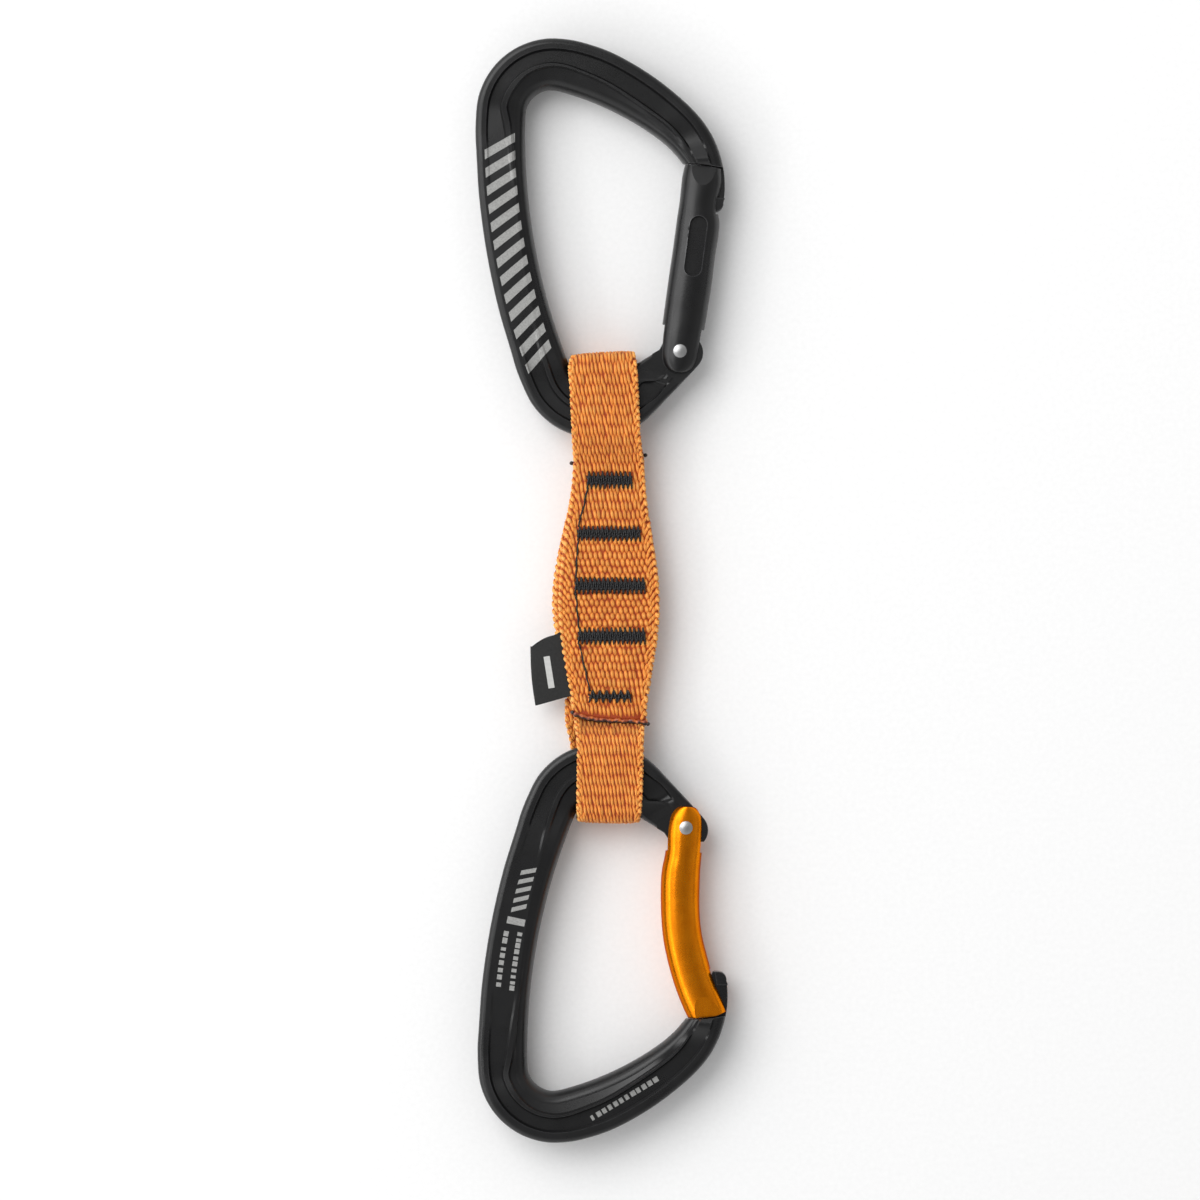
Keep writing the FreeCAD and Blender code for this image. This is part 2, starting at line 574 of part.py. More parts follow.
# ---- assembly -----------------------------------------------------------------------------------
def place_upper(shape):
    shape.translate(Vector(UPPER_ORIGIN[0], UPPER_ORIGIN[1], MID_PLANE))
    return shape


def place_lower(shape):
    shape.rotate(Vector(0, 0, 0), Vector(1, 0, 0), 180)
    shape.rotate(Vector(0, 0, 0), Vector(0, 0, 1), LOWER_TURN)
    shape.translate(Vector(LOWER_ORIGIN[0], LOWER_ORIGIN[1], MID_PLANE))
    return shape


def carabiner(name, pin, path, stations, with_pocket, place):
    direction = path(0)[1]
    return {
        name + "_body": place(forging(pin, direction)),
        name + "_gate": place(gate(pin, path, stations, direction, with_pocket)),
        name + "_gate_rivet": place(rivet(pin)),
        name + "_gate_spring": place(spring(pin, direction)),
        name + "_gate_plunger": place(plunger(pin, direction)),
    }


def sling():
    middle = sewn_middle()
    upper_z = STACK_BOTTOM + 2 * WEB_THICKNESS
    lower_z = STACK_BOTTOM + WEB_THICKNESS
    shapes = {
        "sewn_middle": middle,
        "upper_loop": loop(UPPER_LOOP_X, UPPER_FLEX_Y, upper_z, UPPER_LOOP_END),
        "lower_loop": loop(LOWER_LOOP_X, LOWER_FLEX_Y, lower_z, LOWER_LOOP_END),
        "label_tab": label_tab(middle),
    }
    for k, tack in enumerate(TACKS):
        shapes["bar_tack_%d" % (k + 1)] = bar_tack(*tack)
    for k, (upper, lower) in enumerate(zip(TACKS, TACKS[1:])):
        shapes["jump_thread_%d" % (k + 1)] = jump_thread(upper, lower)
    return shapes


def main():
    upper_pin = Vector(0, 0, 0)
    lower_pin = Vector(LOWER_PIN[0], LOWER_PIN[1], 0)
    shapes = carabiner("upper", upper_pin, straight_path(upper_pin), STRAIGHT_STATIONS, True, place_upper)
    shapes.update(carabiner("lower", lower_pin, bent_path(lower_pin), BENT_STATIONS, False, place_lower))
    shapes.update(sling())
    os.makedirs("parts", exist_ok=True)
    whole = FreeCAD.BoundBox()
    for name, shape in shapes.items():
        whole.add(shape.BoundBox)
        print("%-20s valid %s solids %d volume %.1f" % (name, shape.isValid(), len(shape.Solids), shape.Volume))
        shape.exportStep("parts/" + name + ".step")
    print("whole", whole)


main()
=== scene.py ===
"""Looks of a climbing quickdraw: two carabiners joined by a sewn webbing sling."""
import json
import math

import bpy
import numpy as np
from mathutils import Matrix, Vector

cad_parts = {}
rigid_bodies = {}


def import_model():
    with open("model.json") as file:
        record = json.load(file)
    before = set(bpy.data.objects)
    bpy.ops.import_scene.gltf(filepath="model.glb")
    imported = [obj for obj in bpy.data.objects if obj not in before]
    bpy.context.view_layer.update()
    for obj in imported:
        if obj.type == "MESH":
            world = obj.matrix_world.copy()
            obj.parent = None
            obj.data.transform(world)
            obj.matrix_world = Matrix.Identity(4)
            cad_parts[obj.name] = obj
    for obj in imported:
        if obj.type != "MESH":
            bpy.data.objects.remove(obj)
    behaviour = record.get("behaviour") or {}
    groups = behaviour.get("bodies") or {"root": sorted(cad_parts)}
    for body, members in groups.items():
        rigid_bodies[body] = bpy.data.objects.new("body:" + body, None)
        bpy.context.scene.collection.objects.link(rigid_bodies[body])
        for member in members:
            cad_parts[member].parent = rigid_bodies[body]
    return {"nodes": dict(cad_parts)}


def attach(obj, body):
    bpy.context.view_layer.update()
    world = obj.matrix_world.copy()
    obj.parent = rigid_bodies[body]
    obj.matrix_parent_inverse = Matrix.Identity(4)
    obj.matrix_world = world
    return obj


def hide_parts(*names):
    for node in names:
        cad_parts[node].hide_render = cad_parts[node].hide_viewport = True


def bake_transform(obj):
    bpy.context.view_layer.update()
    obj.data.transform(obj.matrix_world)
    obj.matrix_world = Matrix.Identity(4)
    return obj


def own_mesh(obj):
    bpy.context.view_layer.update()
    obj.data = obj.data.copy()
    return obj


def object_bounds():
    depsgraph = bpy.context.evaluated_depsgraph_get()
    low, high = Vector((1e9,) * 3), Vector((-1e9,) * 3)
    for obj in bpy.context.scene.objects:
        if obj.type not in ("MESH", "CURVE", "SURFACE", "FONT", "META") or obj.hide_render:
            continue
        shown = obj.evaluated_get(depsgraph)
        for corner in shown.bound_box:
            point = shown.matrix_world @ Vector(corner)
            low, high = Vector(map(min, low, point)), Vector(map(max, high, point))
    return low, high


for leftover in list(bpy.data.objects):
    bpy.data.objects.remove(leftover)
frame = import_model()
cad_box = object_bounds()
rng = np.random.default_rng(11)

MM = 0.001
MID_PLANE = 5.55           # height of the carabiners' middle plane, in millimetres

# ---- the webbing strip, in millimetres ----
STRIP_STEP = 0.2           # between points of the strip's middle line
CORNER_STEPS = 12
WEB_CORE = 0.34            # half thickness of the strip under its yarns
CORE_INSET = 0.30          # the core stays this far in from the strip's edges
CORE_END = 0.3             # and this far short of its ends
CORE_STEP = 0.8
CORE_COLUMNS = 7
YARN_COLUMNS = 32          # warp yarns across each face
MARGIN_COLUMNS = 3         # a layer that is covered is woven only this far in from its edges
END_MARGIN = 1.2           # the yarns stop this far short of the strip's ends
NARROW_PITCH = 4.9         # length of strip that one warp yarn takes to repeat
WIDE_PITCH = 3.26
NARROW_FLOAT = 0.75        # a float's share of its pitch
WIDE_FLOAT = 0.67
FLOAT_WIDTH = 1.92         # in columns, so neighbours overlap
FLOAT_LEAN = 0.15          # sideways for each length
FLOAT_HEIGHT = 0.50
FLOAT_SWELL = 0.08         # added to it where the weave is opened
FLOAT_UNEVEN = (0.05, 0.05, 0.05, 0.09, 0.10)      # scatter of x, length, lean, height and s
INNER_HEIGHT = 0.8         # share of it that the middle run's floats keep inside the loops
PRESSED_HEIGHT = 0.4       # share that is left under the stitching
CLOSED_WIDTH = 17.0        # up to this width the weave is closed
OPEN_WIDTH = 24.0          # from this width it is fully opened
SELVEDGE_PITCH = 1.83
SELVEDGE_WIDTH = 0.95
SELVEDGE_GROWTH = 1.15     # added where the weave is opened
SELVEDGE_RADIUS = 0.38     # of its loops
SELVEDGE_SWELL = 0.07
SELVEDGE_SLANT = 0.55      # of its loops, in pitches
SELVEDGE_RINGS = 9         # rings of points in each loop
SELVEDGE_UNEVEN = (0.15, 0.08, 0.03, 0.2)          # scatter of slant, radius, level and tint
ROW_LENGTH = 1.18          # of the slanting floats beside the edge, in pitches
ROW_WIDTH = 0.84
ROW_LEAN = 0.30
ROW_UNEVEN = (0.05, 0.08, 0.12, 0.12, 0.2)         # scatter of x, lean, s, height and tint
BULGE_CENTRE = -3.0        # the sewn middle is widest here
BULGE_HALF_LENGTH = 33.0
MIDDLE_LEFT = -7.1
MIDDLE_RIGHT = 10.4
MIDDLE_STATIONS = np.arange(-24, 25, 4.0)
MIDDLE_Y = 30.5            # the sewn middle reaches this far up and down
PIECE_Y = 20.0             # where the sling's pieces meet
LIP_Y = -32.2              # below the front layer's end the run underneath has a painted shadow
LIP_SHADOW = 3.6           # how far down the painted shadow reaches
LIP_PAINTED_SHADOW = 1.3            # and how dark the painted shadow is
SKEW_LENGTH = 12.0         # the ends are cut askew, and the weave follows over this length
FRONT_CUT_X = (-7.6, -5.0, -1.0, 4.0, 8.0, 11.5)
FRONT_CUT_Y = (-29.6, -30.7, -31.6, -31.8, -31.9, -32.4)
BACK_CUT_Y = 31.9
BACK_CUT_SLOPE = 0.11
# The loops' ends: (which way, where the shaping starts, middle x, half width, slope, shift along y).
LOOP_ENDS = ((1, 51.0, 0.2, 8.1, 0.060, 0.6), (-1, 51.0, 1.6, 7.8, -0.020, 0.35))
LOOP_END_LENGTH = 6.5
LOOP_CORNER = 0.9          # how far the loops' corners are drawn back
TOOTH_PITCHES = (1.08, 1.08, 1.08, 1.08, 1.75)     # of each row of stitching's zigzag
STITCH_RADIUS = 0.22
STITCH_TIP_RADIUS = 0.11
STITCH_RINGS = 11
STITCH_BOW = 0.22          # how high a stroke bows up
STITCH_SINK = 0.05         # how deep the stitching's level is in the weave
TACK_MARGIN = 0.2          # the weave is pressed down this far beside a row's ends
TACK_REACH = 0.36          # and this far from its middle, in row heights
JUMP_WAVES = 7
JUMP_POINTS = 36
JUMP_INSET = 0.3           # from a row's left end
JUMP_REACH = 0.45          # where it leaves and enters a row, in row heights from its middle
FRONT_FACE = 7.8
BACK_FACE = 3.3

# The strip's middle line seen from the side: (y, z, radius of the bend).
STRIP_CORNERS = [
    (32.0, 4.05, 0), (-31.2, 4.05, 7), (-37.0, 0.78, 7), (-56.35, 0.78, 2.7), (-56.35, 10.32, 2.7),
    (-37.0, 10.32, 7), (-31.2, 5.55, 7), (31.2, 5.55, 7), (37.0, 0.78, 7), (56.85, 0.78, 2.7),
    (56.85, 10.32, 2.7), (37.0, 10.32, 7), (31.2, 7.05, 7), (-31.9, 7.05, 0)]

# Rows of stitching: (y, left, right, height).
TACKS = [(26.9, -3.7, 7.3, 4.0), (13.9, -6.0, 9.3, 3.6), (1.2, -6.7, 10.5, 3.9),
         (-11.1, -5.9, 10.5, 4.0), (-25.8, -3.2, 7.1, 2.9)]

# Passes of a row's zigzag: (first stroke up or down, reach in row heights, lift).
ZIGZAG_PASSES = ((-1, 0.25, -0.08), (1, 0.22, -0.03), (1, 0.52, 0.10))

# Slanting floats beside the strip's edge: (how far in, in selvedge widths, and their width).
CLOSED_ROWS = ((0.56, 1.0), (1.0, 1.1))
OPEN_ROWS = ((0.34, 1.1), (0.66, 1.2), (0.97, 1.1))

# A short loop round the strip's edge: (share of its length, how far in, rise above the core).
SELVEDGE_LOOP = ((0, 0.72, 0.02), (0.3, 0.54, 0.17), (0.55, 0.38, 0.20), (0.8, 0.24, 0.10),
                 (1.0, 0.18, -0.16), (1.2, 0.22, -0.42))

# ---- melted ends, label and springs, in millimetres ----
MELT_RADIUS = 0.57
MELT_TIP_RADII = (0.15, 0.36)
BEAD_RADIUS = 0.50         # of the bead at each corner of a melted end
FRONT_MELT_X = (-7.2, -5.0, -2.0, 1.0, 4.0, 7.0, 9.5)
FRONT_MELT_Z = 7.45
FRONT_MELT_CORNER = (11.2, 7.2)        # x and z of its last point, which sags
BACK_MELT_X = (-7.45, -5.0, -2.0, 1.0, 4.0, 7.0, 10.6)
LABEL_CORNERS = ((-17.1, -13.6), (-10.2, -10.1), (-6.6, -25.4), (-15.9, -28.0))    # from the upper left
LABEL_BOTTOM = 6.35
LABEL_CLOTH = 0.32
LABEL_GAP = 0.10           # between its two layers
LABEL_SIDE_BOW = 0.35      # how far the fold bows out
LABEL_TOP_BOW = 0.45       # how far the upper end bows up
LABEL_SAG = 0.28           # how far the fold hangs below the seam, give or take its wave
LABEL_WAVE = 0.12
LABEL_CURL = 0.10          # how far the fold's two corners curl down
LABEL_ROWS = 28
LABEL_COLUMNS = 14
LABEL_FOLD_STEPS = 8
SPRING_START = 9.85        # from the hinge pin, along the gate's bore
SPRING_END = 20.35
SPRING_RADIUS = 1.3
SPRING_WIRE_RADIUS = 0.21
SPRING_TURNS = 9
SPRING_STEPS = 24          # rings of points in each turn
# The hinge pin of each gate, and the direction of its bore.
SPRINGS = {"upper": ((18.97, 58.27), (0.133121, 0.991100)),
           "lower": ((20.432, -57.723), (-0.065054, -0.997882))}

# ---- finish and marks, in millimetres ----
EDGE_REACH = 0.35          # how far from a sharp edge the paler finish reaches: wear of the anodising, partly a painted highlight
UPPER_SPINE_CENTRE = (138.2, 111.5)
LOWER_SPINE_CENTRE = (138.6, -113.5)
SPINE_RADIUS = 162.9
# Slanting bars on the spines: (slant, start, pitch, filled share of it, ranges along and across).
UPPER_BARS = (0.55, 0.0, 4.35, 0.52, ((-57.4, -1.0), (-3.5, 3.9)))
LOWER_BARS = (0.5, 36.0, 2.3, 0.5, ((36.0, 47.0), (-1.7, 1.7)))
# Rows of dashes: (start, end, low, high, pitch).
LOWER_DASHES = ((17.0, 30.8, 1.2, 2.4, 1.75), (16.4, 30.8, -2.1, -0.9, 1.5), (32.4, 34.1, -2.2, 2.2, 30.0))
BOW_DASHES = ((-9.6, 9.6, -0.65, 0.65, 1.6),)
BOW_ROW_CENTRE = (5.6, -123.5)
BOW_ROW_TURN = 31.0        # degrees
LABEL_MARK = (-12.9, -19.9)
LABEL_BAR = ((-0.75, 0.75), (-3.9, 3.9))      # the label's one plain bar, across and along
LABEL_TURN = 9.0           # degrees
# The webbing's colour by height in the weave, with painted shade in the gaps between the yarns and a painted
# highlight on their tops: (level, colour).
WEBBING_PAINTED_SHADING = ((0.0, (0.380, 0.046, 0.004)), (0.12, (0.60, 0.120, 0.010)), (0.42, (0.78, 0.220, 0.026)),
                 (0.75, (0.92, 0.345, 0.056)), (1.0, (1.0, 0.50, 0.130)))

# ---- surroundings and view ----
FLOOR_HALF_SIZE = 6.0      # metres
FLOOR_DROP = 0.0006        # metres below the CAD parts, to clear the yarns
WORLD_LEVELS = ((0.0, 1.0), (0.55, 0.95), (0.97, 0.28))    # (height of the direction, brightness)
WORLD_STRENGTH = 1.02
WORLD_SLANT = 0.62         # how much brighter the surroundings are on the left than in the middle
VIEW_CENTRE = (-0.49, -2.3)    # what the picture's middle shows, in millimetres
VIEW_WIDTH = 292.7
CAMERA_DISTANCE = 1500.0
SENSOR_WIDTH = 36.0


def bulge(y):
    """How far the sewn middle is spread at this height, 0 to 1."""
    along = np.clip((y - BULGE_CENTRE) / BULGE_HALF_LENGTH, -1, 1)
    return np.cos(math.pi / 2 * along) ** 2


def rounded_line(corners, step):
    """Evenly spaced points on a line whose corners are rounded."""
    dense = [np.array(corners[0][:2], float)]
    for before, corner, after in zip(corners, corners[1:], corners[2:]):
        here = np.array(corner[:2], float)
        to_before = np.array(before[:2]) - here
        to_after = np.array(after[:2]) - here
        to_before /= np.linalg.norm(to_before)
        to_after /= np.linalg.norm(to_after)
        half = math.acos(np.clip(to_before @ to_after, -1, 1)) / 2
        cut = corner[2] / math.tan(half)
        start = here + to_before * cut
        end = here + to_after * cut
        for k in range(CORNER_STEPS + 1):
            t = k / CORNER_STEPS
            dense.append((1 - t) ** 2 * start + 2 * t * (1 - t) * here + t ** 2 * end)
    dense.append(np.array(corners[-1][:2], float))
    dense = np.array(dense)
    lengths = np.concatenate([[0], np.cumsum(np.linalg.norm(np.diff(dense, axis=0), axis=1))])
    even = np.linspace(0, lengths[-1], int(lengths[-1] / step) + 1)
    return even, np.interp(even, lengths, dense[:, 0]), np.interp(even, lengths, dense[:, 1])


S, PATH_Y, PATH_Z = rounded_line(STRIP_CORNERS, STRIP_STEP)
STRIP_LENGTH = S[-1]
TANGENT = np.stack([np.gradient(PATH_Y, S), np.gradient(PATH_Z, S)], axis=1)
TANGENT /= np.linalg.norm(TANGENT, axis=1)[:, None]
# The strip runs down along the back, up through the middle and down along the front.
LOW = int(np.argmin(PATH_Y))
HIGH = LOW + int(np.argmax(PATH_Y[LOW:]))
RUNS = [slice(0, LOW + 1), slice(LOW, HIGH + 1), slice(HIGH, len(S))]


def strip_at(run, y):
    """Length along the strip where the given run passes the height y."""
    ys, ss = PATH_Y[RUNS[run]], S[RUNS[run]]
    return float(np.interp(y, ys, ss)) if ys[-1] > ys[0] else float(np.interp(-y, -ys, ss))


def run_of(s):
    """Which of the three runs the strip is on at the length s."""
    return 0 if s < S[LOW] else 1 if s < S[HIGH] else 2


def middle_edges(run, left_extra, right_extra):
    """Edges of the sewn middle on one run; the extras are added at its widest place."""
    rows = []
    for y in MIDDLE_STATIONS:
        rows.append((run, y, MIDDLE_LEFT - left_extra * bulge(y), MIDDLE_RIGHT + right_extra * bulge(y)))
    return rows


# Edges of the strip: (run, y, left, right).
EDGES = ([(0, 32.0, -6.9, 10.2), (0, 28, -7.0, 10.3)] + middle_edges(0, 5.0, 2.2)
         + [(0, -27, -9.0, 10.5), (0, -32, -9.0, 10.4), (0, -37, -7.9, 10.0), (0, -45, -6.7, 9.7),
            (0, -56, -6.2, 9.3)]
         + [(1, -56.3, -5.8, 9.1), (1, -54, -6.2, 9.5), (1, -50, -6.1, 9.8), (1, -38, -6.0, 10.1),
            (1, -31, -6.9, 10.3)]
         + middle_edges(1, 4.5, 2.2)
         + [(1, 31, -6.9, 10.0), (1, 38, -7.4, 9.1), (1, 54, -8.0, 8.3), (1, 56.8, -7.6, 7.9)]
         + [(2, 56.8, -7.6, 7.9), (2, 54.5, -8.2, 8.5), (2, 48, -7.8, 8.9), (2, 38, -7.3, 9.3),
            (2, 31, -6.8, 10.2)]
         + middle_edges(2, 3.5, 3.6)
         + [(2, -27, -7.5, 10.9), (2, -31.9, -7.2, 10.9)])
EDGE_TABLE = np.array(sorted((strip_at(run, y), left, right) for run, y, left, right in EDGES))


def edges(s):
    """The strip's left and right edge at s."""
    return (np.interp(s, EDGE_TABLE[:, 0], EDGE_TABLE[:, 1]),
            np.interp(s, EDGE_TABLE[:, 0], EDGE_TABLE[:, 2]))


def spread(s):
    """How wide the weave is opened at s: 0 in the loops, 1 in the middle."""
    left, right = edges(s)
    return np.clip((right - left - CLOSED_WIDTH) / (OPEN_WIDTH - CLOSED_WIDTH), 0, 1)


def selvedge_width(s):
    """How wide the corded border beside each edge is at s."""
    return SELVEDGE_WIDTH + SELVEDGE_GROWTH * spread(s)


def place(s, x, h):
    """Points of the strip at length s and x across, h off its middle line, outwards on the first run."""
    y, z = np.interp(s, S, PATH_Y), np.interp(s, S, PATH_Z)
    ty, tz = np.interp(s, S, TANGENT[:, 0]), np.interp(s, S, TANGENT[:, 1])
    length = np.hypot(ty, tz)
    skew = (np.clip(1 - s / SKEW_LENGTH, 0, 1) * (back_cut(x) - STRIP_CORNERS[0][0])
            + np.clip(1 - (STRIP_LENGTH - s) / SKEW_LENGTH, 0, 1) * (front_cut(x) - STRIP_CORNERS[-1][0]))
    for sign, start, middle, half, tilt, shift in LOOP_ENDS:
        near = np.clip((sign * y - start) / LOOP_END_LENGTH, 0, 1)
        skew = skew + near * near * (3 - 2 * near) * (
            shift + tilt * (x - middle) - sign * LOOP_CORNER * (np.abs(x - middle) / half) ** 6)
    return np.stack(np.broadcast_arrays(x, y + skew - h * tz / length, z + h * ty / length), axis=-1)


def front_cut(x):
    """How far down the front end's slanting cut is."""
    return np.interp(x, FRONT_CUT_X, FRONT_CUT_Y)


def back_cut(x):
    """How far up the back end's slanting cut is."""
    return BACK_CUT_Y + BACK_CUT_SLOPE * x


# ---- meshes ----
def add_object(name, data):
    obj = bpy.data.objects.new(name, data)
    bpy.context.scene.collection.objects.link(obj)
    return obj


def add_mesh(name, points, faces, material):
    """A smooth mesh in one material, from points in metres."""
    mesh = bpy.data.meshes.new(name)
    mesh.from_pydata(points, [], faces)
    mesh.shade_smooth()
    mesh.materials.append(material)
    return add_object(name, mesh)


class Yarns:
    """Collects many small closed yarn shapes into one mesh.

    The material reads each point's height in the weave, and its lay: along the yarn, across it, and a tint.
    """

    def __init__(self):
        self.points, self.faces, self.height, self.lay = [], [], [], []
        self.count = 0

    def add(self, points, faces, height, along, across, tint):
        self.points.append(points)
        self.faces.extend([[i + self.count for i in face] for face in faces])
        self.height.append(height)
        self.lay.append(np.stack([np.broadcast_to(v, len(points)) for v in (along, across, tint)], axis=-1))
        self.count += len(points)

    def build(self, name, material, slot):
        obj = add_mesh(name, np.concatenate(self.points) * MM, self.faces, material)
        obj.data.attributes.new("yarn_height", "FLOAT", "POINT").data.foreach_set(
            "value", np.concatenate(self.height).astype(np.float32))
        obj.data.attributes.new("yarn_lay", "FLOAT_VECTOR", "POINT").data.foreach_set(
            "vector", np.concatenate(self.lay).astype(np.float32).ravel())
        return obj


def ring_faces(rings, sides):
    """Quads between rings of points, and one face as a cap on each end."""
    faces = []
    for i in range(rings - 1):
        for j in range(sides):
            k = (j + 1) % sides
            faces.append([i * sides + j, i * sides + k, (i + 1) * sides + k, (i + 1) * sides + j])
    faces.append(list(range(sides))[::-1])
    faces.append([(rings - 1) * sides + j for j in range(sides)])
    return faces


FLOAT_RINGS, FLOAT_SIDES = 8, 8
FLOAT_FACES = ring_faces(FLOAT_RINGS, FLOAT_SIDES)
TUBE_SIDES = 8


def yarn_float(yarns, s, x, length, width, height, side, lean, tint):
    """One visible stretch of a warp yarn: a plump closed lens lying on the strip's core."""
    u = np.linspace(-0.5, 0.5, FLOAT_RINGS)[:, None]
    angle = np.linspace(0, 2 * math.pi, FLOAT_SIDES, endpoint=False)[None, :] + math.pi / 8
    shape = np.cos(math.pi * 0.98 * u) ** 0.6
    half_width = width / 2 * (0.16 + 0.84 * shape)
    rise = np.where(np.sin(angle) > 0, np.sin(angle), 0.45 * np.sin(angle))
    level = WEB_CORE - 0.20 + 0.14 * shape
    across = half_width * np.cos(angle)
    h = level + height * (0.12 + 0.88 * shape) * rise
    along = s + u * length
    points = place(along + 0 * across, x + across + lean * u * length, side * h)
    # This height in the weave sets the webbing's painted shade and highlight.
    shade = np.clip((h - WEB_CORE) / height, 0, 1)
    faces = FLOAT_FACES if side > 0 else [face[::-1] for face in FLOAT_FACES]
    yarns.add(points.reshape(-1, 3), faces, shade.ravel(), np.broadcast_to(u * length, shade.shape).ravel(),
              across.ravel(), tint)


def tube(yarns, centres, radii, height, tint, flat=1.0):
    """A closed tube along a line of points; flat squeezes it towards the z axis."""
    centres = np.asarray(centres, float)
    radii = np.broadcast_to(radii, len(centres))
    direction = np.gradient(centres, axis=0)
    direction /= np.linalg.norm(direction, axis=1)[:, None]
    up = np.broadcast_to(np.array([0.03, 0.02, 1.0]), centres.shape)
    sideways = np.cross(up, direction)
    weak = np.linalg.norm(sideways, axis=1) < 0.25
    sideways[weak] = np.cross(np.array([1.0, 0.1, 0.0]), direction[weak])
    sideways /= np.linalg.norm(sideways, axis=1)[:, None]
    normal = np.cross(direction, sideways)
    angle = np.linspace(0, 2 * math.pi, TUBE_SIDES, endpoint=False)
    ring = (sideways[:, None, :] * np.cos(angle)[None, :, None]
            + normal[:, None, :] * np.sin(angle)[None, :, None] * flat)
    points = centres[:, None, :] + ring * radii[:, None, None]
    lengths = np.concatenate([[0], np.cumsum(np.linalg.norm(np.diff(centres, axis=0), axis=1))])
    along = np.repeat(lengths, TUBE_SIDES)
    across = np.tile(angle / math.pi, len(centres))
    yarns.add(points.reshape(-1, 3), ring_faces(len(centres), TUBE_SIDES),
              np.repeat(np.broadcast_to(height, len(centres)), TUBE_SIDES), along, across, tint)


def smooth_line(points, count):
    """Points on a smooth curve through the given ones."""
    points = np.asarray(points, float)
    padded = np.vstack([2 * points[0] - points[1], points, 2 * points[-1] - points[-2]])
    result = []
    for t in np.linspace(0, len(points) - 1, count):
        i = min(int(t), len(points) - 2)
        f = t - i
        a, b, c, d = padded[i:i + 4]
        result.append(0.5 * (2 * b + (c - a) * f + (2 * a - 5 * b + 4 * c - d) * f ** 2
                             + (3 * b - 3 * c + d - a) * f ** 3))
    return np.array(result)


# ---- the woven strip ----
def piece_of(y):
    """Which of the sling's three pieces the height y belongs to."""
    return "upper" if y > PIECE_Y else "lower" if y < -PIECE_Y else "middle"


def under_tack(x, y):
    """Whether the point is under a row of stitching."""
    return any(left - TACK_MARGIN < x < right + TACK_MARGIN and abs(y - row_y) < height * TACK_REACH
               for row_y, left, right, height in TACKS)


def core(yarns, s0, s1):
    """The strip's closed inner ribbon between two lengths, hidden under the yarns."""
    stations = np.linspace(s0, s1, max(2, int((s1 - s0) / CORE_STEP)) + 1)
    left, right = edges(stations)
    fractions = np.linspace(0, 1, CORE_COLUMNS)
    across = (left + CORE_INSET)[:, None] + (right - left - 2 * CORE_INSET)[:, None] * fractions[None, :]
    top = place(stations[:, None] + 0 * across, across, WEB_CORE)
    bottom = place(stations[:, None] + 0 * across, across[:, ::-1], -WEB_CORE)
    rings = np.concatenate([top, bottom], axis=1)
    count = rings.shape[0] * rings.shape[1]
    # Height 0 gives the core the darkest webbing tone: painted shade where it shows between the yarns.
    yarns.add(rings.reshape(-1, 3), ring_faces(len(stations), rings.shape[1]), np.zeros(count), 0.0, 0.0, 0.5)


def weave(pieces):
    """All warp yarns of the strip, column by column, on both of its faces."""
    pitch = NARROW_PITCH + (WIDE_PITCH - NARROW_PITCH) * spread(S)
    phase = np.concatenate([[0], np.cumsum(0.5 * (1 / pitch[1:] + 1 / pitch[:-1]) * np.diff(S))])
    for column in range(YARN_COLUMNS):
        drift = rng.normal(0, 0.03)
        for side in (1, -1):
            offset = 0.5 * (column % 2) + 0.5 * (side < 0) + drift
            for k in range(int(phase[-1]) + 1):
                s = float(np.interp(k + offset, phase, S))
                noise = rng.normal(0, 1, 5)
                if not END_MARGIN < s < STRIP_LENGTH - END_MARGIN:
                    continue
                run = run_of(s)
                y = float(np.interp(s, S, PATH_Y))
                outer = (run == 0 and side > 0) or (run == 2 and side < 0)
                margin = column < MARGIN_COLUMNS or column >= YARN_COLUMNS - MARGIN_COLUMNS
                if abs(y) < MIDDLE_Y and not (outer or margin):
                    continue
                left, right = edges(s)
                border = selvedge_width(s)
                width = (right - left - 2 * border) / YARN_COLUMNS
                wide = spread(s)
                local_pitch = float(np.interp(s, S, pitch))
                sideways, longer, leaning, higher, further = noise * FLOAT_UNEVEN
                x = left + border + (column + 0.5) * width + sideways
                share = NARROW_FLOAT + (WIDE_FLOAT - NARROW_FLOAT) * wide
                length = local_pitch * share * (1 + longer)
                direction = float(np.interp(s, S, TANGENT[:, 0]))
                lean = -direction * (FLOAT_LEAN + leaning)
                height = (FLOAT_HEIGHT + FLOAT_SWELL * wide) * (1 + higher)
                if run == 1 and abs(y) > MIDDLE_Y and side * y > 0:
                    height *= INNER_HEIGHT
                if outer and under_tack(x, y):
                    height *= PRESSED_HEIGHT
                # Painted shadow: floats just under the front layer's melted end are darkened through their
                # tint.
                painted_shadow = 0.0
                if run == 1 and side > 0 and y < LIP_Y:
                    painted_shadow = LIP_PAINTED_SHADOW * max(0.0, 1 - (LIP_Y - y) / LIP_SHADOW)
                yarn_float(pieces[piece_of(y)], s + further, x, length, width * FLOAT_WIDTH, height,
                           side, lean, 0.5 + 0.2 * noise[0] - painted_shadow)


